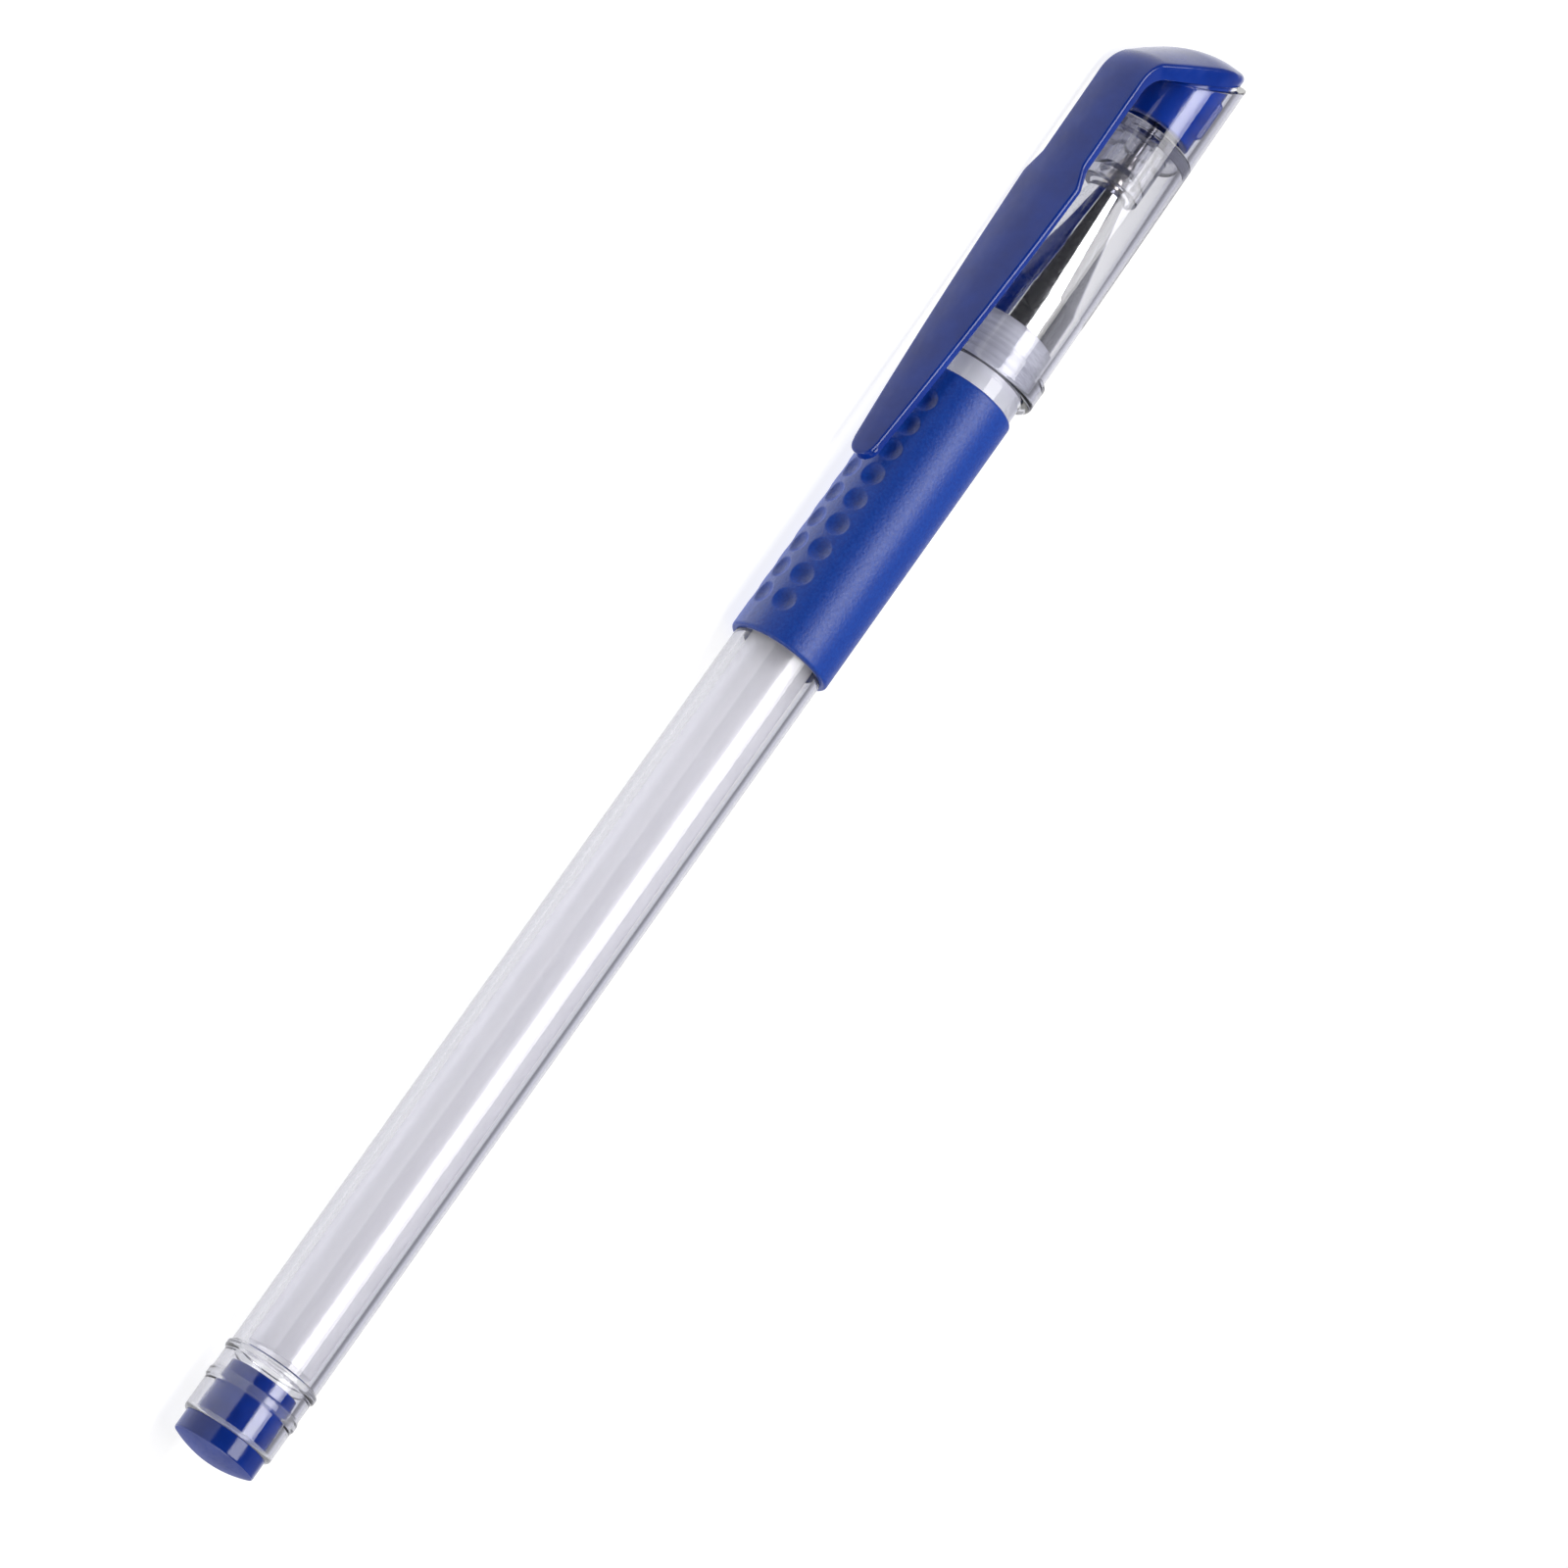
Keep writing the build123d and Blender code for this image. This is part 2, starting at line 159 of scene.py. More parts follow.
def skin(name, rings, material, loop):
    """Closed mesh over an array (rings, points round a ring, xyz). Every ring is closed. Rings that
    loop join the last to the first, and otherwise both ends are closed by a fan to the ring's middle."""
    count, around = rings.shape[:2]
    vertices = rings.reshape(-1, 3)
    row = np.arange(count if loop else count - 1)[:, None] * around
    here = np.arange(around)[None]
    after = (here + 1) % around
    ahead = (row + around) % (count * around)
    quads = np.stack((row + here, row + after, ahead + after, ahead + here), -1).reshape(-1, 4)
    volume = signed_volumes(vertices, quads[:, :3]).sum()
    volume += signed_volumes(vertices, quads[:, (0, 2, 3)]).sum()
    faces = [quads]
    if not loop:
        vertices = np.vstack((vertices, rings[0].mean(0), rings[-1].mean(0)))
        first, last = np.arange(around), np.arange(around) + (count - 1) * around
        low = np.full(around, count * around)
        faces.append(np.stack((low, np.roll(first, -1), first), -1))
        faces.append(np.stack((low + 1, last, np.roll(last, -1)), -1))
        volume += signed_volumes(vertices, np.vstack(faces[1:])).sum()
    if volume < 0:
        faces = [face[:, ::-1] for face in faces]
    mesh = bpy.data.meshes.new(name)
    mesh.from_pydata(vertices.tolist(), [], [corner for face in faces for corner in face.tolist()])
    mesh.polygons.foreach_set("use_smooth", np.ones(len(mesh.polygons), bool))
    mesh.materials.append(material)
    piece = bpy.data.objects.new(name, mesh)
    bpy.context.scene.collection.objects.link(piece)
    return piece


def turned(name, profile, material, loop=True, around=224, shape=None):
    """Profile of (station, radius) turned about the pen's axis, at a number of even angles or at given
    ones. shape, if given, returns new stations and radii for every point from its station, radius and
    angle from the clip's side."""
    angle = np.linspace(0, 2 * np.pi, around, endpoint=False) if np.isscalar(around) else around
    station = np.repeat(profile[:, :1], len(angle), 1)
    radius = np.repeat(profile[:, 1:2], len(angle), 1)
    if shape:
        station, radius = shape(station, radius, angle[None])
    return skin(name, at(station, radius * np.cos(angle), radius * np.sin(angle)), material, loop)


def frosted(piece, rings):
    """Stores the attribute "frost" on every point of a turned piece from one value for each ring."""
    points = len(piece.data.vertices)
    values = np.repeat(rings, points // len(rings))
    layer = piece.data.attributes.new("frost", "FLOAT", "POINT")
    layer.data.foreach_set("value", np.append(values, np.repeat(values[-1], points - len(values))))


def nodes_of(name):
    """New material with an empty node tree: the material, its nodes, and a function that links
    two sockets."""
    material = bpy.data.materials.new(name)
    material.use_nodes = True
    material.node_tree.nodes.clear()
    return material, material.node_tree.nodes, material.node_tree.links.new


def noise(nodes, link, scale, detail=4.0, stretch=(1, 1, 1)):
    """Noise in Object coordinates, with its features stretched along X, Y and Z; scale is per metre."""
    place = nodes.new("ShaderNodeTexCoord")
    mapping = nodes.new("ShaderNodeMapping")
    mapping.inputs["Scale"].default_value = [scale / s for s in stretch]
    texture = nodes.new("ShaderNodeTexNoise")
    texture.inputs["Scale"].default_value = 1.0
    texture.inputs["Detail"].default_value = detail
    link(place.outputs["Object"], mapping.inputs["Vector"])
    link(mapping.outputs["Vector"], texture.inputs["Vector"])
    return texture.outputs["Fac"]


def spread(nodes, link, value, low, high, start=0.3, end=0.7):
    """Maps a noise value from start..end to low..high."""
    remap = nodes.new("ShaderNodeMapRange")
    remap.inputs["From Min"].default_value = start
    remap.inputs["From Max"].default_value = end
    remap.inputs["To Min"].default_value = low
    remap.inputs["To Max"].default_value = high
    link(value, remap.inputs["Value"])
    return remap.outputs["Result"]


def bump(nodes, link, height, distance, strength=1.0, under=None):
    """Bump of a given depth in metres from a height value, on top of another normal if given."""
    node = nodes.new("ShaderNodeBump")
    node.inputs["Distance"].default_value = distance
    node.inputs["Strength"].default_value = strength
    link(height, node.inputs["Height"])
    if under:
        link(under, node.inputs["Normal"])
    return node.outputs["Normal"]


def clear_plastic(name, density, shade):
    """Clear moulded plastic with drawn-out flow marks and a faint lavender body colour that gathers
    where the wall is seen edge on. Where the attribute "frost" is 1 the surface is rough and milky.
    shade is the share of light that passes through one wall into the shadow."""
    material, nodes, link = nodes_of(name)
    shell = nodes.new("ShaderNodeBsdfPrincipled")
    shell.inputs["Base Color"].default_value = (1, 1, 1, 1)
    shell.inputs["Transmission Weight"].default_value = 1.0
    shell.inputs["IOR"].default_value = 1.50
    frost = nodes.new("ShaderNodeAttribute")
    frost.attribute_name = "frost"
    haze = spread(nodes, link, noise(nodes, link, 900, 5, (6, 1, 1)), 0.0, 0.05)
    rough = nodes.new("ShaderNodeMath")
    rough.operation = "MULTIPLY_ADD"
    rough.inputs[1].default_value = 0.5
    link(frost.outputs["Fac"], rough.inputs[0])
    link(haze, rough.inputs[2])
    link(rough.outputs[0], shell.inputs["Roughness"])
    flow = noise(nodes, link, 260, 3, (8, 1, 1))
    link(bump(nodes, link, flow, 0.0000009), shell.inputs["Normal"])
    milk = nodes.new("ShaderNodeBsdfDiffuse")
    milk.inputs["Color"].default_value = (0.80, 0.81, 0.84, 1)
    bloom = nodes.new("ShaderNodeMath")
    bloom.operation = "MULTIPLY"
    bloom.inputs[1].default_value = 0.75
    link(frost.outputs["Fac"], bloom.inputs[0])
    surface = nodes.new("ShaderNodeMixShader")
    link(bloom.outputs[0], surface.inputs["Fac"])
    link(shell.outputs["BSDF"], surface.inputs[1])
    link(milk.outputs["BSDF"], surface.inputs[2])
    passing = nodes.new("ShaderNodeBsdfTransparent")
    passing.inputs["Color"].default_value = (shade, shade, 1.03 * shade, 1)
    path = nodes.new("ShaderNodeLightPath")
    both = nodes.new("ShaderNodeMixShader")
    link(path.outputs["Is Shadow Ray"], both.inputs["Fac"])
    link(surface.outputs["Shader"], both.inputs[1])
    link(passing.outputs["BSDF"], both.inputs[2])
    body = nodes.new("ShaderNodeVolumeAbsorption")
    body.inputs["Color"].default_value = (0.36, 0.365, 0.46, 1)
    body.inputs["Density"].default_value = density
    output = nodes.new("ShaderNodeOutputMaterial")
    link(both.outputs["Shader"], output.inputs["Surface"])
    link(body.outputs["Volume"], output.inputs["Volume"])
    return material


def helix(station, angle):
    """Height from 0 to 1 of a thread: one ridge for each pitch along the axis and for each whole turn."""
    return 0.5 + 0.5 * np.cos(2 * np.pi * station / THREAD_PITCH - angle)


def neck_thread(station, radius, angle):
    """The bore widens into a shallow groove between the thread's ends."""
    inside = (radius < NECK_WALL_R) & (station > THREAD_START) & (station < THREAD_END)
    run = np.minimum(station - THREAD_START, THREAD_END - station) / THREAD_PITCH
    depth = THREAD_DEPTH * np.clip(run, 0, 1)
    return station, np.where(inside, radius + depth * helix(station, angle), radius)


thread_stations = np.arange(THREAD_END, THREAD_START, -THREAD_STEP)
barrel_outside = rounded(
    (BARREL_START, TAIL_BORE_R, 0.08), (BARREL_START, TAIL_R, 0.38),
    *ring(*TAIL_RING, TAIL_R, TAIL_R, 0.10, 0.30), *ring(*SECOND_RING, TAIL_R, TUBE_START_R, 0.08, 0.22),
    (GRIP_START, TUBE_END_R, 0.06), (GRIP_START, SEAT_R, 0.05), (GRIP_END, SEAT_R, 0.05),
    (GRIP_END, COLLAR_R, 0.06), (COLLAR_END, COLLAR_R, 0.15), (COLLAR_END, NECK_R, 0.06),
    *ring(*SNAP_RING, NECK_R, NECK_R, 0.10, 0.25),
    (BARREL_END - (NECK_R - MOUTH_R), NECK_R, 0.05), (BARREL_END, MOUTH_R, 0.05),
    (BARREL_END, NECK_BORE_R, 0.05), (THREAD_END + 0.1, NECK_BORE_R, 0), closed=False,
)
# the bore narrows a little from the neck to the tail, as the core pin has to draw out
barrel_inside = np.vstack((
    np.stack((thread_stations, np.full(len(thread_stations), NECK_BORE_R)), -1),
    ((THREAD_START, NECK_BORE_R), (THREAD_START - 0.05, NECK_BORE_R), (GRIP_END, NECK_BORE_R),
     (GRIP_END - 0.6, NECK_BORE_R), (60.0, 3.51), (30.0, 3.44), (TUBE_START, TAIL_BORE_R),
     (BARREL_START + 0.2, TAIL_BORE_R)),
))
barrel_profile = np.vstack((barrel_outside, barrel_inside))
barrel = turned(
    "clear_barrel", barrel_profile, clear_plastic("clear barrel plastic", 300, 0.81), shape=neck_thread,
)
barrel_station, barrel_radius = barrel_profile.T
in_neck = (barrel_station > GRIP_END - 0.5) & (barrel_station < BARREL_END) & (barrel_radius < NECK_WALL_R)
on_ring = (barrel_station < TUBE_START) & (barrel_radius > TUBE_END_R + 0.02)
on_tail_end = (barrel_station < BARREL_START + 0.40) & (barrel_radius > TAIL_BORE_R + 0.1)
frosted(barrel, np.select((in_neck, on_tail_end, on_ring), (NECK_FROST, TAIL_END_FROST, RING_FROST), 0.0))
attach(barrel, "barrel")
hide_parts("barrel")


# --- End plug -----------------------------------------------------------------------------
# Blue moulded plug, pressed into the tail: a slightly domed crown on a flange that sits on
# the barrel's end, and a cored body that shows through the clear wall.

CROWN_DEPTH = 0.84
CROWN_EDGE_R = 3.60
FLANGE_R = 3.88
BODY_R = 3.39
BODY_TAPER_START = 4.19
BODY_END = 7.99
BODY_END_R = 3.20
CORE_START = 2.44
CORE_R = 2.20
CROWN_WORN_END = 0.80
# a solid piece's profile stops this short of the axis, and a fan closes it
AXIS_GAP = 0.05
PLUG_BLUE = (0.002, 0.020, 0.185, 1)
PLUG_BLUE_WORN = (0.005, 0.031, 0.25, 1)


def blue_plastic(name, deep, worn, roughness):
    """Glossy blue polypropylene: a slightly cloudy colour, faint orange peel, and fine handling scuffs."""
    material, nodes, link = nodes_of(name)
    shell = nodes.new("ShaderNodeBsdfPrincipled")
    cloud = noise(nodes, link, 350, 5)
    colour = nodes.new("ShaderNodeMix")
    colour.data_type = "RGBA"
    colour.inputs["A"].default_value = deep
    colour.inputs["B"].default_value = worn
    link(spread(nodes, link, cloud, 0.0, 1.0), colour.inputs["Factor"])
    link(colour.outputs["Result"], shell.inputs["Base Color"])
    scuff = noise(nodes, link, 2600, 8, (3, 1, 1))
    frost = nodes.new("ShaderNodeAttribute")
    frost.attribute_name = "frost"
    rough = nodes.new("ShaderNodeMath")
    rough.operation = "MULTIPLY_ADD"
    rough.inputs[1].default_value = 0.4
    link(frost.outputs["Fac"], rough.inputs[0])
    link(spread(nodes, link, scuff, roughness, roughness + 0.10, 0.45, 0.75), rough.inputs[2])
    link(rough.outputs[0], shell.inputs["Roughness"])
    shell.inputs["IOR"].default_value = 1.5
    peel = bump(nodes, link, noise(nodes, link, 1400, 3), 0.0000022)
    grain = bump(nodes, link, noise(nodes, link, 7000, 5), 0.0000007, under=peel)
    link(grain, shell.inputs["Normal"])
    link(shell.outputs["BSDF"], nodes.new("ShaderNodeOutputMaterial").inputs["Surface"])
    return material


# the crown is a shallow parabola that rises to the middle
crown_arc = np.linspace(AXIS_GAP, CROWN_EDGE_R, 16)
crown = np.stack((CROWN_DEPTH * (crown_arc / FLANGE_R) ** 2, crown_arc), -1)
plug_body = rounded(
    (*crown[-1], 0), (CROWN_DEPTH, FLANGE_R, 0.16), (BARREL_START - 0.01, FLANGE_R, 0.06),
    (BARREL_START - 0.01, BODY_R, 0.05), (BODY_TAPER_START, BODY_R, 0.15), (BODY_END, BODY_END_R, 0.15),
    (BODY_END, CORE_R, 0.20), (CORE_START, CORE_R, 0.30), (CORE_START, AXIS_GAP, 0), closed=False,
)
end_plug_profile = np.vstack((crown, plug_body[1:]))
end_plug = turned(
    "blue_end_plug", end_plug_profile,
    blue_plastic("blue end plug plastic", PLUG_BLUE, PLUG_BLUE_WORN, 0.12), loop=False,
)
frosted(end_plug, np.where(end_plug_profile[:, 0] < CROWN_WORN_END, 1.0, 0.0))
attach(end_plug, "barrel")
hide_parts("end_plug")


# --- Grip sleeve --------------------------------------------------------------------------
# Matte royal-blue rubber sleeve, stretched into the barrel's recess. Columns of shallow round
# dimples run along the side that the finger rests on; the mould left a fine even grain.

GRIP_R = 4.78
GRIP_INSIDE_R = 4.15
DIMPLE_ROWS = 9
DIMPLE_COLUMNS = 3
DIMPLE_PITCH = 2.66
DIMPLE_R = 1.07
DIMPLE_DEPTH = 0.46
RIM = 0.05
DIMPLE_FIRST_ANGLE = np.radians(-54)
# the dimpled side, in degrees from the clip's side, has a finer mesh than the rest
DIMPLED_FROM = -76
DIMPLED_TO = 32
SLEEVE_GAP = 0.02
SLEEVE_ROUND = 0.32
GRIP_BLUE = (0.001, 0.034, 0.27, 1)
GRIP_BLUE_PALE = (0.004, 0.056, 0.36, 1)


def dimpled(station, radius, angle):
    """The outer surface sinks by a parabola inside each dimple's circle. From just inside the circle
    to just outside it, a second, flatter parabola takes over as a soft rim."""
    first = GRIP_START + (GRIP_END - GRIP_START - (DIMPLE_ROWS - 1) * DIMPLE_PITCH) / 2
    sunk = np.zeros_like(radius)
    for column in range(DIMPLE_COLUMNS):
        turn = DIMPLE_FIRST_ANGLE + column * DIMPLE_PITCH / GRIP_R
        across = GRIP_R * (np.mod(angle - turn + np.pi, 2 * np.pi) - np.pi)
        for line in range(DIMPLE_ROWS):
            along = station - first - line * DIMPLE_PITCH
            inside = 1 - (along**2 + across**2) / DIMPLE_R**2
            rim = np.clip(inside + RIM, 0, None) ** 2 / (4 * RIM)
            sunk += DIMPLE_DEPTH * np.where(inside > RIM, inside, rim)
    return station, np.where(radius > (GRIP_R + GRIP_INSIDE_R) / 2, radius - sunk, radius)


def rubber(name, deep, pale):
    """Matte rubber with a fine even grain, a soft sheen at grazing angles and a trace of dust."""
    material, nodes, link = nodes_of(name)
    shell = nodes.new("ShaderNodeBsdfPrincipled")
    colour = nodes.new("ShaderNodeMix")
    colour.data_type = "RGBA"
    colour.inputs["A"].default_value = deep
    colour.inputs["B"].default_value = pale
    dust = noise(nodes, link, 4200, 8)
    link(spread(nodes, link, dust, 0.0, 1.0, 0.35, 0.75), colour.inputs["Factor"])
    link(colour.outputs["Result"], shell.inputs["Base Color"])
    link(spread(nodes, link, noise(nodes, link, 4400, 6), 0.35, 0.48), shell.inputs["Roughness"])
    shell.inputs["IOR"].default_value = 1.47
    coarse = bump(nodes, link, noise(nodes, link, 4400, 6), 0.000036, 0.9)
    fine = bump(nodes, link, noise(nodes, link, 16000, 4), 0.000004, 0.8, under=coarse)
    link(fine, shell.inputs["Normal"])
    link(shell.outputs["BSDF"], nodes.new("ShaderNodeOutputMaterial").inputs["Surface"])
    return material


sleeve_ends = rounded(
    (GRIP_END - SLEEVE_GAP, GRIP_R, SLEEVE_ROUND), (GRIP_END - SLEEVE_GAP, GRIP_INSIDE_R, 0.05),
    (GRIP_START + SLEEVE_GAP, GRIP_INSIDE_R, 0.05), (GRIP_START + SLEEVE_GAP, GRIP_R, SLEEVE_ROUND),
)
sleeve_run = np.arange(GRIP_START + 0.5, GRIP_END - 0.5, 0.085)
sleeve_run = np.stack((sleeve_run, np.full(len(sleeve_run), GRIP_R)), -1)
dimple_side = np.radians(np.arange(DIMPLED_FROM, DIMPLED_TO, 0.85))
plain_side = np.radians(np.arange(DIMPLED_TO, DIMPLED_FROM + 360, 2.4))
grip = turned(
    "rubber_grip", np.vstack((sleeve_ends, sleeve_run)),
    rubber("blue grip rubber", GRIP_BLUE, GRIP_BLUE_PALE),
    around=np.append(dimple_side, plain_side), shape=dimpled,
)
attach(grip, "barrel")
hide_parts("grip_sleeve")


# --- Refill tube --------------------------------------------------------------------------
# Empty extruded polypropylene tube, milky and slightly warm, with faint lengthwise die lines.
# It pushes over the tip holder and floats free in the barrel.

REFILL_START = 10.1
REFILL_END = 109.20
REFILL_R = 3.07
REFILL_BORE_R = 2.20
REFILL_MILK = (0.83, 0.825, 0.83, 1)


def milky_plastic(name, milk, see_through):
    """Translucent natural polypropylene: a wall that scatters light, mixed with one that can be seen
    through by the share see_through, both under a waxy surface with fine lengthwise lines."""
    material, nodes, link = nodes_of(name)
    front = nodes.new("ShaderNodeBsdfPrincipled")
    back = nodes.new("ShaderNodeBsdfTranslucent")
    wall = nodes.new("ShaderNodeBsdfPrincipled")
    front.inputs["Base Color"].default_value = milk
    front.inputs["Roughness"].default_value = 0.12
    front.inputs["IOR"].default_value = 1.7
    back.inputs["Color"].default_value = milk
    wall.inputs["Base Color"].default_value = (1, 1, 1, 1)
    wall.inputs["Transmission Weight"].default_value = 1.0
    wall.inputs["IOR"].default_value = 1.45
    link(spread(nodes, link, noise(nodes, link, 600, 4, (40, 1, 1)), 0.10, 0.16), wall.inputs["Roughness"])
    scatter = nodes.new("ShaderNodeMixShader")
    scatter.inputs["Fac"].default_value = 0.5
    link(front.outputs["BSDF"], scatter.inputs[1])
    link(back.outputs["BSDF"], scatter.inputs[2])
    cloud = noise(nodes, link, 700, 5, (30, 1, 1))
    clouds = spread(nodes, link, cloud, see_through - 0.05, see_through + 0.05)
    milky = nodes.new("ShaderNodeMixShader")
    link(clouds, milky.inputs["Fac"])
    link(scatter.outputs["Shader"], milky.inputs[1])
    link(wall.outputs["BSDF"], milky.inputs[2])
    lines = bump(nodes, link, noise(nodes, link, 2500, 4, (60, 1, 1)), 0.000003)
    link(lines, front.inputs["Normal"])
    link(lines, wall.inputs["Normal"])
    passing = nodes.new("ShaderNodeBsdfTransparent")
    passing.inputs["Color"].default_value = (0.80, 0.79, 0.78, 1)
    path = nodes.new("ShaderNodeLightPath")
    both = nodes.new("ShaderNodeMixShader")
    link(path.outputs["Is Shadow Ray"], both.inputs["Fac"])
    link(milky.outputs["Shader"], both.inputs[1])
    link(passing.outputs["BSDF"], both.inputs[2])
    body = nodes.new("ShaderNodeVolumeAbsorption")
    body.inputs["Color"].default_value = (0.40, 0.40, 0.46, 1)
    body.inputs["Density"].default_value = 60
    output = nodes.new("ShaderNodeOutputMaterial")
    link(both.outputs["Shader"], output.inputs["Surface"])
    link(body.outputs["Volume"], output.inputs["Volume"])
    return material


refill = turned(
    "refill_tube_milky",
    rounded(
        (REFILL_START, REFILL_BORE_R, 0.08), (REFILL_START, REFILL_R, 0.08),
        (REFILL_END, REFILL_R, 0.05), (REFILL_END, REFILL_BORE_R, 0.05),
    ),
    milky_plastic("milky refill plastic", REFILL_MILK, 0.50), around=160,
)
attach(refill, "refill")
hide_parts("refill_tube")


# --- Tip holder ---------------------------------------------------------------------------
# Moulded connector between the tube and the metal tip, pushed into both. The solid's own shape
# stays, in the milky plastic of the tube but whiter and thicker.

HOLDER_MILK = (0.92, 0.91, 0.91, 1)
frame["nodes"]["tip_holder"].data.materials[0] = milky_plastic("tip holder plastic", HOLDER_MILK, 0.12)


# --- Nose cone ----------------------------------------------------------------------------
# Turned brass cone, chromium plated: a threaded shank, a short parallel band, a crisp shoulder
# and a long taper. The plating keeps a haze of fine specks and faint lathe rings.

CONE_START = 112.60
SHOULDER = 122.02
CONE_END = 133.46
SHANK_R = 3.52
BAND_R = 3.96
SHOULDER_R = 3.88
CONE_END_R = 1.74
CONE_BORE_R = 2.90
THROAT_R = 1.59
TIP_HOLE_R = 1.09
TIP_HOLE_LENGTH = 2.2


def shank_thread(station, radius, angle):
    """Ridges on the shank that stand in the barrel's groove with an even gap."""
    outside = np.abs(radius - SHANK_R) < 0.2
    outside &= (station > THREAD_START) & (station < THREAD_END)
    run = np.minimum(station - THREAD_START, THREAD_END - station) / THREAD_PITCH
    depth = (THREAD_DEPTH - 0.01) * np.clip(run, 0, 1)
    return station, np.where(outside, radius + depth * helix(station, angle), radius)


def plated_metal(name, colour, low, high, speck, rings):
    """Bright metal: a mirror whose roughness goes from low to high in soft patches, with dark pin
    specks, faint turning rings round the axis (their height in metres) and a slight orange peel."""
    material, nodes, link = nodes_of(name)
    shell = nodes.new("ShaderNodeBsdfPrincipled")
    shell.inputs["Metallic"].default_value = 1.0
    tone = nodes.new("ShaderNodeMix")
    tone.data_type = "RGBA"
    tone.inputs["A"].default_value = colour
    tone.inputs["B"].default_value = [0.35 * value for value in colour[:3]] + [1]
    pins = spread(nodes, link, noise(nodes, link, 5200, 8), 0.0, speck, 0.56, 0.74)
    link(pins, tone.inputs["Factor"])
    link(tone.outputs["Result"], shell.inputs["Base Color"])
    link(spread(nodes, link, noise(nodes, link, 3800, 7), low, high), shell.inputs["Roughness"])
    turning = bump(nodes, link, noise(nodes, link, 9000, 3, (1, 400, 400)), rings)
    orange = bump(nodes, link, noise(nodes, link, 3000, 4), 0.0000016, under=turning)
    link(orange, shell.inputs["Normal"])
    link(shell.outputs["BSDF"], nodes.new("ShaderNodeOutputMaterial").inputs["Surface"])
    return material


BAND_START = BARREL_END + 0.02
cone_front = rounded(
    (BARREL_END, SHANK_R, 0), (BAND_START, SHANK_R, 0), (BAND_START, BAND_R, 0.06),
    (SHOULDER, SHOULDER_R, 0.06), (CONE_END, CONE_END_R, 0.16), (CONE_END, TIP_HOLE_R, 0.10),
    (CONE_END - TIP_HOLE_LENGTH, TIP_HOLE_R, 0.05), (CONE_END - TIP_HOLE_LENGTH, THROAT_R, 0.10),
    (SHOULDER, CONE_BORE_R, 0.20), (CONE_START, CONE_BORE_R, 0.05), (CONE_START, SHANK_R, 0.05),
    (CONE_START + 0.3, SHANK_R, 0), closed=False,
)
shank_stations = np.arange(CONE_START + 0.4, BARREL_END, THREAD_STEP)
cone = turned(
    "chrome_nose_cone",
    np.vstack((cone_front, np.stack((shank_stations, np.full(len(shank_stations), SHANK_R)), -1))),
    plated_metal("chromium plate", (0.86, 0.865, 0.87, 1), 0.03, 0.16, 0.55, 0.0000006), shape=shank_thread,
)
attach(cone, "nose")
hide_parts("nose_cone")


# --- Tip and needle -----------------------------------------------------------------------
# Nickel-silver tip, turned with a short cone, and the ground steel needle that it grips. Both
# are pressed together and stay with the refill.

TIP_START = 127.46
TIP_SHOULDER = 134.56
TIP_END = 137.02
TIP_R = 1.04
TIP_END_R = 0.55
NEEDLE_SEAT_R = 0.44
NEEDLE_SEAT_LENGTH = 2.0
NEEDLE_R = 0.43
NEEDLE_END = 144.92
NEEDLE_POINT_R = 0.012

tip = turned(
    "nickel_silver_tip",
    rounded(
        (TIP_START, AXIS_GAP, 0), (TIP_START, TIP_R, 0.06), (TIP_SHOULDER, TIP_R, 0.05),
        (TIP_END, TIP_END_R, 0.05), (TIP_END, NEEDLE_SEAT_R, 0.02),
        (TIP_END - NEEDLE_SEAT_LENGTH, NEEDLE_SEAT_R, 0.02), (TIP_END - NEEDLE_SEAT_LENGTH, AXIS_GAP, 0),
        closed=False,
    ),
    plated_metal("nickel silver", (0.72, 0.68, 0.62, 1), 0.12, 0.26, 0.35, 0.0000012), loop=False, around=128,
)
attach(tip, "refill")
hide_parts("tip_body")

# the ground flank stays full at first, then falls ever faster to the point
needle_run = np.linspace(0, 1, 40)
needle_radius = NEEDLE_R * (1 - needle_run**1.55) ** 0.9 + NEEDLE_POINT_R
needle_flank = np.stack((TIP_END + needle_run * (NEEDLE_END - TIP_END), needle_radius), -1)
needle = turned(
    "steel_needle", np.vstack(((TIP_END - NEEDLE_SEAT_LENGTH + 0.1, NEEDLE_R), needle_flank)),
    plated_metal("ground needle steel", (0.63, 0.62, 0.61, 1), 0.14, 0.28, 0.3, 0.0000014),
    loop=False, around=96,
)
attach(needle, "refill")
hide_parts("needle")


# --- Cap shell ----------------------------------------------------------------------------
# Clear cap, cut off aslant at the top: a thick lip ring, a slightly tapered wall, an inner web
# and a seal tube that reaches down over the tip.

LIP_START = 113.21
LIP_END = 115.63
LIP_R = 5.37
LIP_BORE_R = 4.38
SHELL_R = 5.03
SHELL_END_R = 4.66
SHELL_BORE_R = 4.37
SHELL_BORE_END_R = 3.86
SEAL_START = 133.51
SEAL_R = 2.70
SEAL_MOUTH_R = 2.00
SEAL_MOUTH_LENGTH = 1.25
SEAL_FUNNEL_LENGTH = 0.70
SEAL_BORE_R = 1.25
WEB_START = 138.04
WEB_END = 139.14
SHELL_AXIS_END = 145.94
SHELL_SLANT = np.tan(np.radians(34.0))
WEB_FROST = 0.20
SEAL_FROST = 0.06


def slanted(station, radius, angle):
    """Above the web the wall is stretched along the axis until its end lies in the slanting plane."""
    foot = WEB_END + 0.4
    end = SHELL_AXIS_END - SHELL_SLANT * radius * np.cos(angle)
    stretched = foot + (station - foot) * (end - foot) / (SHELL_AXIS_END - foot)
    return np.where(station > foot, stretched, station), radius


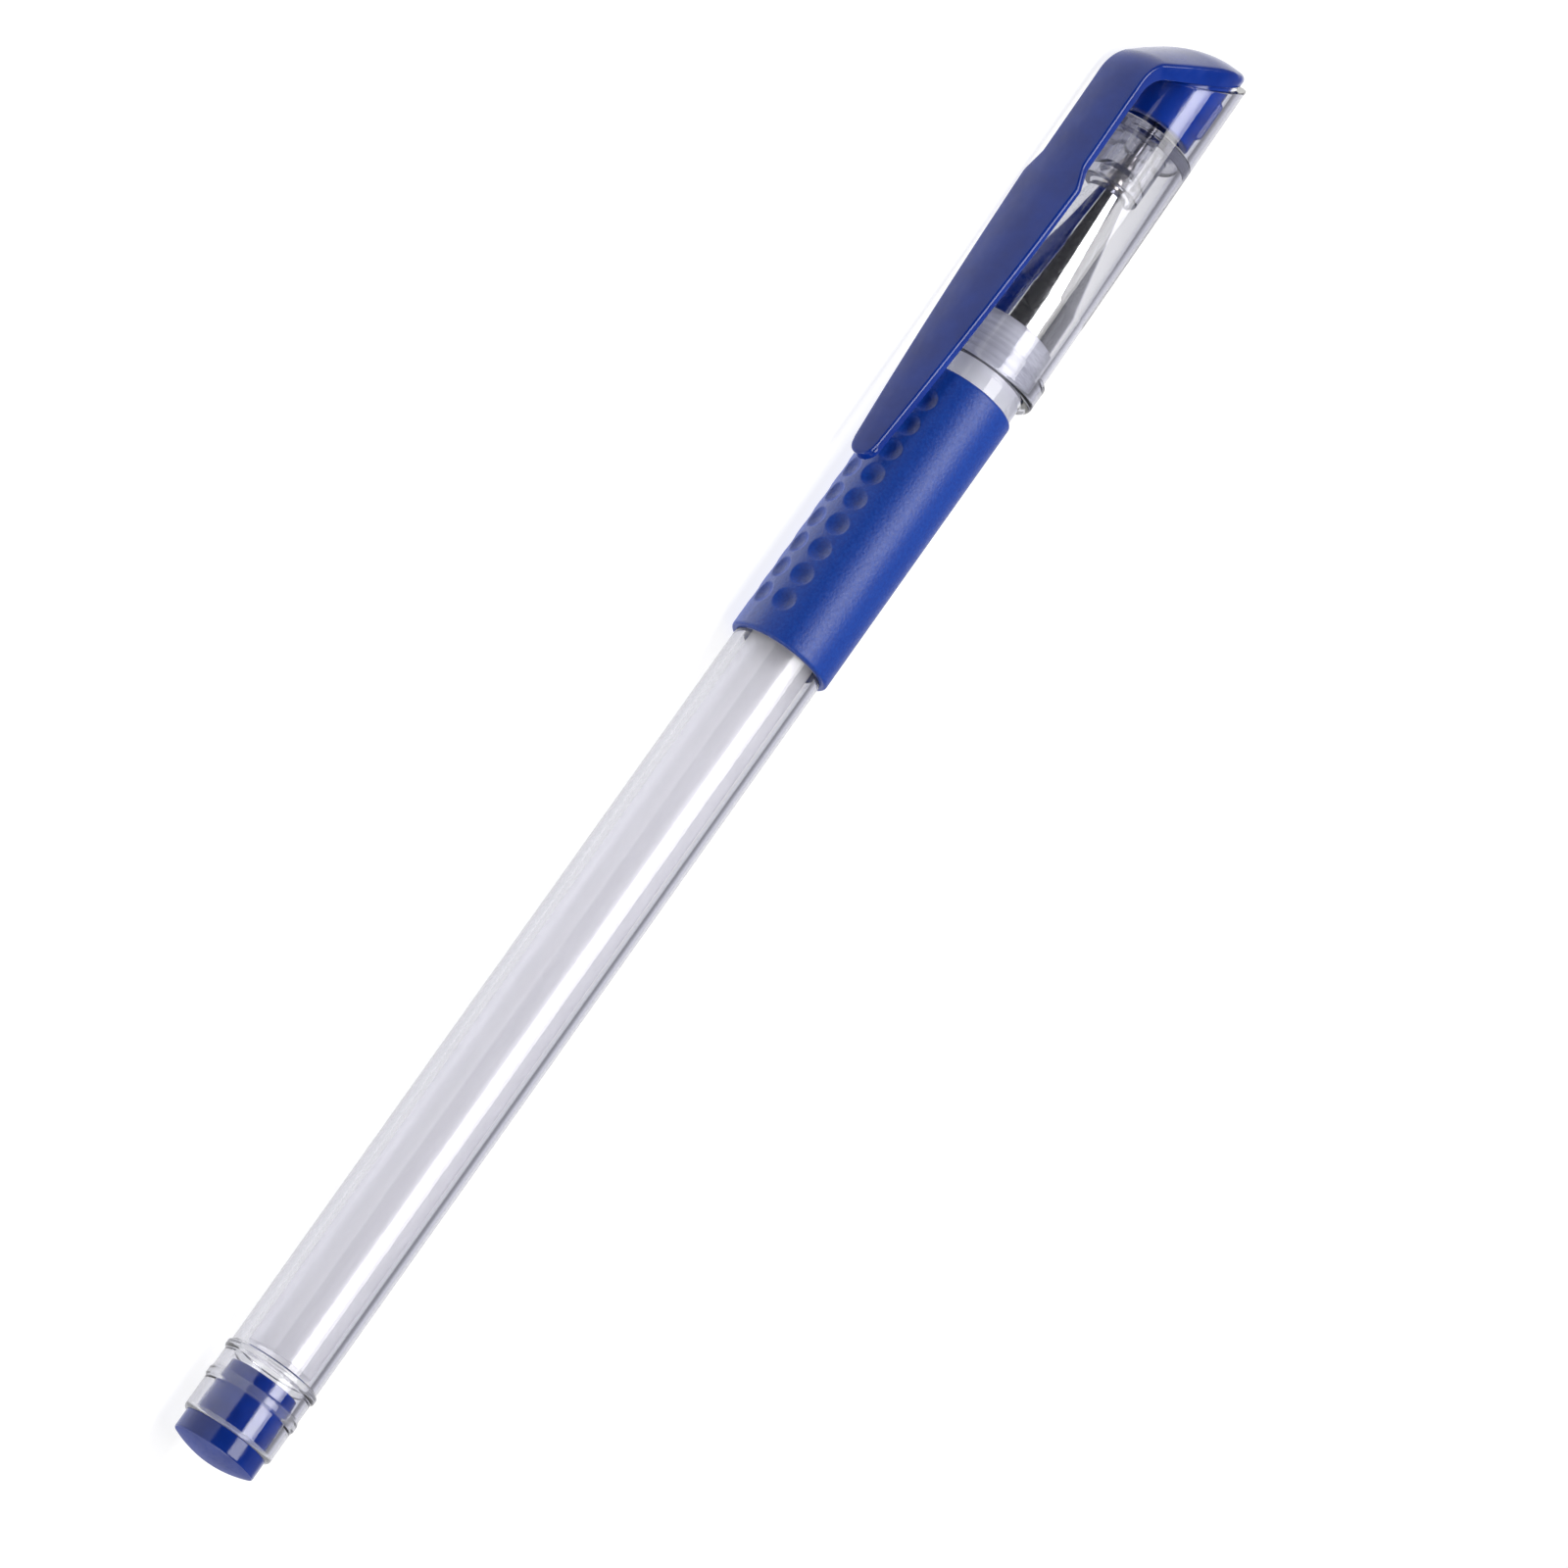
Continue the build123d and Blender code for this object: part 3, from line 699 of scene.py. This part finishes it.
seal_funnel = SEAL_START + SEAL_MOUTH_LENGTH
cap_profile = rounded(
    (LIP_START, LIP_R, 0.45), (LIP_END, LIP_R, 0.35), (LIP_END, SHELL_R, 0.10),
    (SHELL_AXIS_END, SHELL_END_R, 0.08), (SHELL_AXIS_END, SHELL_BORE_END_R, 0.08),
    (WEB_END, SHELL_BORE_END_R, 0.08), (WEB_END, SEAL_BORE_R, 0.08),
    (seal_funnel + SEAL_FUNNEL_LENGTH, SEAL_BORE_R, 0.10), (seal_funnel, SEAL_MOUTH_R, 0.10),
    (SEAL_START, SEAL_MOUTH_R, 0.04), (SEAL_START, SEAL_R, 0.16), (WEB_START, SEAL_R, 0.08),
    (WEB_START, SHELL_BORE_END_R, 0.08), (SHOULDER, SHELL_BORE_R, 0.50), (LIP_START, LIP_BORE_R, 0.12),
)
cap_clear = clear_plastic("clear cap plastic", 330, 0.86)
cap_shell = turned("clear_cap_shell", cap_profile, cap_clear, shape=slanted)
cap_station, cap_radius = cap_profile.T
on_web = (cap_station > WEB_START - 0.05) & (cap_station < WEB_END + 0.05)
on_web &= (cap_radius > SEAL_BORE_R + 0.25) & (cap_radius < SHELL_BORE_END_R - 0.11)
in_seal = (cap_station > SEAL_START - 0.1) & (cap_station < WEB_END) & (cap_radius < SEAL_R + 0.05)
frosted(cap_shell, np.select((on_web, in_seal), (WEB_FROST, SEAL_FROST), 0.0))
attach(cap_shell, "cap")
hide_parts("cap_shell")


# --- Cap top and clip ---------------------------------------------------------------------
# One glossy blue moulding: a hollow plug with three crush ribs that wedges in the shell, a
# domed plate over the slanting end, and the clip that bends down from it and can flex.

TOP_BLUE = (0.001, 0.021, 0.205, 1)
TOP_BLUE_WORN = (0.004, 0.034, 0.28, 1)
CAP_PLANE = SHELL_AXIS_END + 0.35
PLUG_START = 139.99
PLUG_R = 3.53
PLUG_CORE_R = 2.75
PLUG_WALL_END = 145.14
PLUG_TOP = CAP_PLANE + 0.3
RIB_START = 141.19
RIB_END = 144.79
RIB_RUN_OUT = 0.3
RIB_HEIGHT = 0.32
RIB_HALF_WIDTH = 0.20
RIB_FIRST_ANGLE = np.radians(-12)
# points in the clip's plane are a station and a reach, the distance from the axis towards the clip
DOME_R = 3.97
CREST_BACK = (149.89, -3.97)
CREST_AXIS = (148.85, 0.3)
CREST_CORNER = (142.79, 7.90)
PLATE_END = 4.10
ARM_ROOT = 138.54
ARM_MIDDLE = 119.34
ARM_TIP = 100.14
ARM_REACH = (7.90, 7.52, 7.18)
ARM_THICKNESS = (1.17, 1.095, 1.02)
# points of the arm's outline are a station and a half width
NECK_HALF = 2.43
NECK_END = 131.74
ARM_SHOULDER = (129.64, 3.18)
ARM_FLANK = (125.2, 2.99)
ARM_HALFWAY = (114.21, 2.375)
ARM_END_LENGTH = 1.25
ARM_END_HALF = 1.35
ARM_END = ARM_TIP + ARM_END_LENGTH
ARM_END_R = 1.30
TOP_CROWN_R = 9.5
TOP_EDGE_R = 0.30
UNDER_EDGE_R = 0.12
BACK_EDGE_R = 0.55
BEND_START = (140.4, 7.8)
BEND_END = (137.0, 7.8)

top_blue = blue_plastic("blue cap plastic", TOP_BLUE, TOP_BLUE_WORN, 0.13)


def ribbed(station, radius, angle):
    """Slants the plug's upper end like the shell's, and raises three short crush ribs on its wall,
    each flat on top with straight flanks and run-outs."""
    turn = np.mod(angle - RIB_FIRST_ANGLE + np.pi / 3, 2 * np.pi / 3) - np.pi / 3
    across = np.clip(1.6 - np.abs(turn) * PLUG_R / RIB_HALF_WIDTH, 0, 1)
    along = np.clip((station - RIB_START) / RIB_RUN_OUT, 0, 1)
    along *= np.clip((RIB_END - station) / RIB_RUN_OUT, 0, 1)
    wall = (radius > PLUG_R - 0.05) & (station < PLUG_WALL_END)
    radius = np.where(wall, radius + RIB_HEIGHT * across * along, radius)
    foot = RIB_START - 0.05
    end = PLUG_TOP - SHELL_SLANT * radius * np.cos(angle)
    stretched = foot + (station - foot) * (end - foot) / (PLUG_TOP - foot)
    return np.where(station > foot, stretched, station), radius


# the core ends just under the plate, and the ribbed part of the wall has close rows
core_end = CAP_PLANE - 0.05
plug_wall = np.linspace(RIB_START - 0.15, PLUG_WALL_END - 0.10, 34)
cap_plug_profile = np.vstack((
    rounded(
        (core_end, AXIS_GAP, 0), (core_end, PLUG_CORE_R, 0.25), (PLUG_START, PLUG_CORE_R, 0.10),
        (PLUG_START, PLUG_R, 0.18), (RIB_START - 0.45, PLUG_R, 0), closed=False,
    ),
    np.stack((plug_wall, np.full(len(plug_wall), PLUG_R)), -1),
    rounded((PLUG_WALL_END, PLUG_R, 0), (PLUG_TOP, PLUG_R, 0.05), (PLUG_TOP, AXIS_GAP, 0), closed=False),
))
cap_plug = turned("blue_cap_plug", cap_plug_profile, top_blue, loop=False, around=288, shape=ribbed)
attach(cap_plug, "cap")
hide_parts("cap_top")


def arc_through(first, middle, last, steps):
    """Points on the circle through three points, evenly turned from the first to the last. The
    centre is where the perpendicular bisectors of the two chords meet."""
    (ax, ay), (bx, by), (cx, cy) = first, middle, last
    twice = 2 * (ax * (by - cy) + bx * (cy - ay) + cx * (ay - by))
    squares = np.array((ax**2 + ay**2, bx**2 + by**2, cx**2 + cy**2))
    centre = np.array((squares @ (by - cy, cy - ay, ay - by), squares @ (cx - bx, ax - cx, bx - ax))) / twice
    start, end = np.array(first) - centre, np.array(last) - centre
    turn = np.arctan2(start[0] * end[1] - start[1] * end[0], start @ end)
    angle = np.arctan2(start[1], start[0]) + turn * np.linspace(0, 1, steps)
    return centre + np.hypot(*start) * np.stack((np.cos(angle), np.sin(angle)), -1)


def resampled(path, steps):
    """The same path with evenly spaced points."""
    run = np.append(0, np.cumsum(np.hypot(*np.diff(path, axis=0).T)))
    even = np.linspace(0, run[-1], steps)
    return np.stack((np.interp(even, run, path[:, 0]), np.interp(even, run, path[:, 1])), -1)


# crest and underside of the moulding in the clip's plane: the plate, then the bend, then the arm
arm_inner = np.subtract(ARM_REACH, ARM_THICKNESS)
bend_foot = ARM_ROOT - 0.4
crest = rounded(
    (*CREST_BACK, 0), (*CREST_AXIS, 14.0), (*CREST_CORNER, 5.2), (bend_foot, ARM_REACH[0], 0),
    closed=False, steps=40,
)
underside = rounded(
    (CAP_PLANE + SHELL_SLANT * DOME_R, -DOME_R, 0),
    (CAP_PLANE - SHELL_SLANT * arm_inner[0], arm_inner[0], 5.6), (bend_foot, arm_inner[0], 0),
    closed=False, steps=40,
)
# the plate's rows crowd together at its back, where its outline is a circle
plate_reach = -DOME_R * np.cos(np.linspace(np.radians(3), np.radians(90), 36))
plate_reach = np.append(plate_reach, np.linspace(0.12, PLATE_END, 26))
climbing = crest[crest[:, 1] < ARM_REACH[0] - 0.1]
plate_crest = np.stack((np.interp(plate_reach, climbing[:, 1], climbing[:, 0]), plate_reach), -1)
plate_under = np.stack((CAP_PLANE - SHELL_SLANT * plate_reach, plate_reach), -1)
bend_crest = np.vstack((plate_crest[-1:], crest[crest[:, 1] > PLATE_END + 0.02]))
bend_under = np.vstack((plate_under[-1:], underside[underside[:, 1] > PLATE_END + 0.02]))
bend_crest, bend_under = resampled(bend_crest, 44)[1:], resampled(bend_under, 44)[1:]
arm_crest = arc_through(*zip((ARM_ROOT, ARM_MIDDLE, ARM_TIP), ARM_REACH), 200)
arm_under = arc_through(*zip((ARM_ROOT, ARM_MIDDLE, ARM_TIP), arm_inner), 200)
end_turn = np.linspace(np.radians(2), np.radians(88), 24)
arm_station = np.append(
    np.linspace(ARM_ROOT - 0.7, ARM_END + 0.05, 150), ARM_TIP + ARM_END_LENGTH * (1 - np.sin(end_turn)),
)
arm_crest = np.stack((arm_station, np.interp(arm_station, arm_crest[::-1, 0], arm_crest[::-1, 1])), -1)
arm_under = np.stack((arm_station, np.interp(arm_station, arm_under[::-1, 0], arm_under[::-1, 1])), -1)
crest_line = np.vstack((plate_crest, bend_crest, arm_crest))
under_line = np.vstack((plate_under, bend_under, arm_under))

# the arm seen from above: neck, shoulder, a long taper on a slight arc, and a half-round end
end_round = np.linspace(0.05, np.pi / 2, 40)
arm_outline = np.vstack((
    rounded(
        (145.0, NECK_HALF, 0), (NECK_END, NECK_HALF, 1.2), (*ARM_SHOULDER, 1.2), (*ARM_FLANK, 0),
        closed=False, steps=16,
    ),
    arc_through(ARM_SHOULDER, ARM_HALFWAY, (ARM_END, ARM_END_HALF), 60)[12:],
    np.stack((ARM_END - ARM_END_LENGTH * np.sin(end_round), ARM_END_HALF * np.cos(end_round)), -1),
))


def plate_half_width(reach):
    """Half width of the plate seen along the axis: a circle behind, then flanks that touch it and run
    straight to the neck."""
    angle = np.arctan2(NECK_HALF, arm_inner[0]) + np.arccos(DOME_R / np.hypot(NECK_HALF, arm_inner[0]))
    flank_reach, flank_half = DOME_R * np.cos(angle), DOME_R * np.sin(angle)
    circle = np.sqrt(np.clip(DOME_R**2 - reach**2, 1e-6, None))
    flank = np.interp(reach, (flank_reach, arm_inner[0]), (flank_half, NECK_HALF))
    return np.where(reach < flank_reach, circle, flank)


def half_width(line):
    """Half width at each point of the crest or the underside, as a column: the plate's by reach up to
    the end of the bend, and the arm's by station after it."""
    bent = len(plate_crest) + len(bend_crest)
    arm = np.interp(line[bent:, 0], arm_outline[::-1, 0], arm_outline[::-1, 1])
    return np.append(plate_half_width(line[:bent, 1]), arm)[:, None]


def section(top_half, under_half, thick, round_ends):
    """Closed sections of the moulding as (sideways, depth) arrays. The top falls away from its crest as a
    circle of TOP_CROWN_R, the sides are flat, and quarter circles round the edges above and below."""
    top_r = np.minimum(TOP_EDGE_R, 0.8 * top_half)
    under_r = np.minimum(UNDER_EDGE_R, 0.5 * under_half)
    quarter = np.linspace(0, np.pi / 2, 7)[None, 1:]
    flat = np.linspace(-1, 1, 27)[None]
    top_z = np.hstack((flat * (top_half - top_r), top_half - top_r + top_r * np.sin(quarter)))
    lost = np.hstack((0 * flat * top_r, top_r * (1 - np.cos(quarter))))
    top_d = TOP_CROWN_R - np.sqrt(TOP_CROWN_R**2 - top_z**2) + np.maximum(lost, round_ends(top_z))
    edge_z = under_half - under_r + under_r * np.cos(quarter)
    under_z = np.hstack((edge_z, -flat[:, ::3] * (under_half - under_r)))
    under_d = thick - np.hstack((under_r * (1 - np.sin(quarter)), 0 * flat[:, ::3] * under_r))
    # the other side's edges are the same ones, mirrored and in turned order
    left_z, left_d = -top_z[:, flat.size:][:, ::-1], top_d[:, flat.size:][:, ::-1]
    left_under_z, left_under_d = -under_z[:, :quarter.size][:, ::-1], under_d[:, :quarter.size][:, ::-1]
    sideways = np.hstack((top_z, under_z, left_under_z, left_z))
    return sideways, np.hstack((top_d, under_d, left_under_d, left_d))


def round_ends(sideways):
    """Depth lost to the rounding of the plate's back edge and of the arm's end: a quarter circle of the
    distance from the outline's own circle, measured from above."""
    reach, station = crest_line[:, 1:], crest_line[:, :1]
    from_back = np.where(reach < 0, DOME_R - np.hypot(reach, sideways), BACK_EDGE_R)
    from_tip = np.where(station < ARM_END, ARM_END_R - np.hypot(station - ARM_END, sideways), TOP_EDGE_R)
    near_back = np.clip(BACK_EDGE_R - from_back, 0, BACK_EDGE_R)
    near_tip = np.clip(TOP_EDGE_R - from_tip, 0, TOP_EDGE_R)
    lost_back = BACK_EDGE_R - np.sqrt(BACK_EDGE_R**2 - near_back**2)
    lost_tip = TOP_EDGE_R - np.sqrt(TOP_EDGE_R**2 - near_tip**2)
    # the wider rounding of the back fades out over the last millimetre before the plate's widest place
    return lost_back * np.clip(-reach, 0, 1) + lost_tip


down = under_line - crest_line
thickness = np.hypot(down[:, 0], down[:, 1])[:, None]
down = down / thickness
sideways, depth = section(half_width(crest_line), half_width(under_line), thickness, round_ends)
clip_rings = at(crest_line[:, :1] + down[:, :1] * depth, crest_line[:, 1:] + down[:, 1:] * depth, sideways)
clip = skin("blue_dome_and_clip", clip_rings, top_blue, loop=False)
# points in the row frame where the bend starts and where it ends
clip_start, clip_end = at(*np.transpose(((*BEND_START, 0.0), (*BEND_END, 0.0))))
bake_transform(clip)
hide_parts("clip_arm")


# --- Floor, lamps and camera --------------------------------------------------------------
# Pale floor that lets light through and shows white. One large softbox hangs above, one shines up
# from below the floor, a small one stands at the tail, and the dim studio has one bright wall.

FLOOR_HALF_LENGTH = 0.5
FLOOR_NEAR = 0.35
FLOOR_FAR = -0.7
FLOOR_DROP = 0.00002
FLOOR_TONES = (0.25, 0.27)
FLOOR_GLOW = 0.85
# share of the glow for every other kind of ray
OTHER_RAYS = 0.5
CAMERA_LENS = 204.75
CAMERA_DISTANCE = 0.746
CAMERA_TILT = np.radians(14.0)
CAMERA_TURN = np.radians(40.0)
CAMERA_FOOT = 74.54
CAMERA_SIDE_STEP = 0.00652
# sine and cosine of the angle at which the pen stands across the view
VIEW_SLOPE = (0.577118, 0.816661)
LAMP_DISTANCE = 0.60
WALL_WAY = (0.24, -0.92, -0.32)
# tone of the studio against how far a direction turns from facing away from the wall (0) to facing it (1)
STUDIO_TONES = (
    (0, 0.035), (0.36, 0.04), (0.48, 0.22), (0.56, 0.34), (0.70, 0.33), (0.87, 0.34), (0.91, 0.62),
    (0.945, 0.98),
)
ENDS_TONE = 0.6

floor_material, floor_nodes, floor_link = nodes_of("pale floor")
paint = floor_nodes.new("ShaderNodeBsdfDiffuse")
floor_tone = spread(floor_nodes, floor_link, noise(floor_nodes, floor_link, 40, 6), *FLOOR_TONES)
floor_colour = floor_nodes.new("ShaderNodeCombineColor")
for channel in ("Red", "Green", "Blue"):
    floor_link(floor_tone, floor_colour.inputs[channel])
floor_link(floor_colour.outputs["Color"], paint.inputs["Color"])
seen = floor_nodes.new("ShaderNodeLightPath")
glow = floor_nodes.new("ShaderNodeEmission")
glow.inputs["Color"].default_value = (1, 1, 1, 1)
share = None
for ray in ("Is Camera Ray", "Is Glossy Ray", "Is Transmission Ray"):
    larger = floor_nodes.new("ShaderNodeMath")
    larger.operation = "MAXIMUM"
    larger.inputs[1].default_value = OTHER_RAYS
    floor_link(seen.outputs[ray], larger.inputs[0])
    if share:
        floor_link(share, larger.inputs[1])
    share = larger.outputs[0]
lift = floor_nodes.new("ShaderNodeMath")
lift.operation = "MULTIPLY"
lift.inputs[1].default_value = FLOOR_GLOW
floor_link(share, lift.inputs[0])
floor_link(lift.outputs[0], glow.inputs["Strength"])
floor_sum = floor_nodes.new("ShaderNodeAddShader")
floor_link(paint.outputs["BSDF"], floor_sum.inputs[0])
floor_link(glow.outputs["Emission"], floor_sum.inputs[1])
floor_link(floor_sum.outputs["Shader"], floor_nodes.new("ShaderNodeOutputMaterial").inputs["Surface"])

floor_mesh = bpy.data.meshes.new("floor")
floor_corners = [
    (-FLOOR_HALF_LENGTH, FLOOR_FAR, -FLOOR_DROP), (FLOOR_HALF_LENGTH, FLOOR_FAR, -FLOOR_DROP),
    (FLOOR_HALF_LENGTH, FLOOR_NEAR, -FLOOR_DROP), (-FLOOR_HALF_LENGTH, FLOOR_NEAR, -FLOOR_DROP),
]
floor_mesh.from_pydata(floor_corners, [], [(0, 1, 2, 3)])
floor_mesh.materials.append(floor_material)
floor = bpy.data.objects.new("floor", floor_mesh)
bpy.context.scene.collection.objects.link(floor)
# its glow stays off the matt surfaces, and the softbox below it shines through
floor.visible_diffuse = False
floor.visible_shadow = False

# the studio round the pen is dim, with a bright wall behind it
world = bpy.data.worlds.new("studio")
world.use_nodes = True
world_nodes, world_link = world.node_tree.nodes, world.node_tree.links.new
look = world_nodes.new("ShaderNodeTexCoord")
facing = world_nodes.new("ShaderNodeVectorMath")
facing.operation = "DOT_PRODUCT"
world_link(look.outputs["Generated"], facing.inputs[0])
facing.inputs[1].default_value = WALL_WAY
wall = world_nodes.new("ShaderNodeValToRGB")
for position, tone in STUDIO_TONES:
    stop = wall.color_ramp.elements[0] if position == 0 else wall.color_ramp.elements.new(position)
    stop.color = (tone, tone, 1.1 * tone, 1)
wall.color_ramp.elements.remove(wall.color_ramp.elements[-1])
away = world_nodes.new("ShaderNodeMath")
away.operation = "MULTIPLY_ADD"
away.inputs[1].default_value = 0.5
away.inputs[2].default_value = 0.5
world_link(facing.outputs["Value"], away.inputs[0])
world_link(away.outputs[0], wall.inputs["Fac"])
apart = world_nodes.new("ShaderNodeSeparateXYZ")
world_link(look.outputs["Generated"], apart.inputs["Vector"])
off_wall = world_nodes.new("ShaderNodeMath")
off_wall.operation = "SUBTRACT"
off_wall.inputs[1].default_value = WALL_WAY[0]
world_link(apart.outputs["X"], off_wall.inputs[0])
endwise = world_nodes.new("ShaderNodeMath")
endwise.operation = "ABSOLUTE"
world_link(off_wall.outputs[0], endwise.inputs[0])
ends = spread(world_nodes, world_link, endwise.outputs[0], 0.0, ENDS_TONE, 0.68, 0.95)
brighter = world_nodes.new("ShaderNodeMix")
brighter.data_type = "RGBA"
brighter.blend_type = "LIGHTEN"
brighter.inputs["Factor"].default_value = 1.0
world_link(wall.outputs["Color"], brighter.inputs["A"])
world_link(ends, brighter.inputs["B"])
# past the floor's edge the camera sees white
looking = world_nodes.new("ShaderNodeLightPath")
backdrop = world_nodes.new("ShaderNodeMix")
backdrop.data_type = "RGBA"
backdrop.inputs["B"].default_value = (1, 1, 1, 1)
world_link(looking.outputs["Is Camera Ray"], backdrop.inputs["Factor"])
world_link(brighter.outputs["Result"], backdrop.inputs["A"])
world_link(backdrop.outputs["Result"], world_nodes["Background"].inputs["Color"])
bpy.context.scene.world = world

camera_rise = CAMERA_TURN + np.arctan2(clip_way[2], clip_way[1])
forward = Vector((0, np.cos(camera_rise), np.sin(camera_rise)))
along = Vector((1, 0, 0))
upward = along.cross(forward)
view_along = along * np.cos(CAMERA_TILT) + forward * np.sin(CAMERA_TILT)
towards = forward * np.cos(CAMERA_TILT) - along * np.sin(CAMERA_TILT)
slope_x, slope_y = VIEW_SLOPE
right = slope_x * view_along + slope_y * upward
up = slope_y * view_along - slope_x * upward
eye = Vector((crown_x + MM * CAMERA_FOOT, axis_y, axis_z))
eye += CAMERA_DISTANCE * towards + CAMERA_SIDE_STEP * upward
camera_data = bpy.data.cameras.new("camera")
camera_data.lens = CAMERA_LENS
camera_data.sensor_width = 36
camera_data.clip_start = 0.05
camera = bpy.data.objects.new("camera", camera_data)
camera.matrix_world = Matrix.Translation(eye) @ Matrix((right, up, towards)).transposed().to_4x4()
bpy.context.scene.collection.objects.link(camera)
bpy.context.scene.camera = camera


def softbox(name, source, ahead, slant, width, length, radiance, colour):
    """Area lamp at LAMP_DISTANCE from the pen's middle that faces it, moved ahead along the pen and
    slanted in its own plane. Its power is pi times its area times its radiance."""
    lamp = bpy.data.lights.new(name, "AREA")
    lamp.shape = "RECTANGLE"
    lamp.size = length
    lamp.size_y = width
    lamp.energy = np.pi * length * width * radiance
    lamp.color = colour
    run = (along * np.cos(slant) + source.cross(along) * np.sin(slant)) if abs(source.x) < 0.9 else upward
    box = bpy.data.objects.new(name, lamp)
    place = Matrix.Translation(source * LAMP_DISTANCE + along * ahead)
    box.matrix_world = place @ Matrix((run, source.cross(run), source)).transposed().to_4x4()
    bpy.context.scene.collection.objects.link(box)


def around_pen(turn):
    """Direction from the pen at an angle in degrees from the camera's side, positive towards the
    pen's upper side."""
    return forward * np.cos(np.radians(turn)) + upward * np.sin(np.radians(turn))


softbox(
    "key softbox", around_pen(44), ahead=0.25, slant=0.0,
    width=0.34, length=0.80, radiance=6.4, colour=(1.0, 0.99, 0.98),
)
softbox(
    "rim softbox", around_pen(-110), ahead=0.18, slant=-0.40,
    width=0.37, length=0.65, radiance=6.4, colour=(0.97, 0.98, 1.0),
)
softbox(
    "tail softbox", -along, ahead=0.0, slant=0.0,
    width=0.30, length=0.30, radiance=5.0, colour=(1.0, 1.0, 1.0),
)

bpy.context.scene.view_settings.view_transform = "Standard"
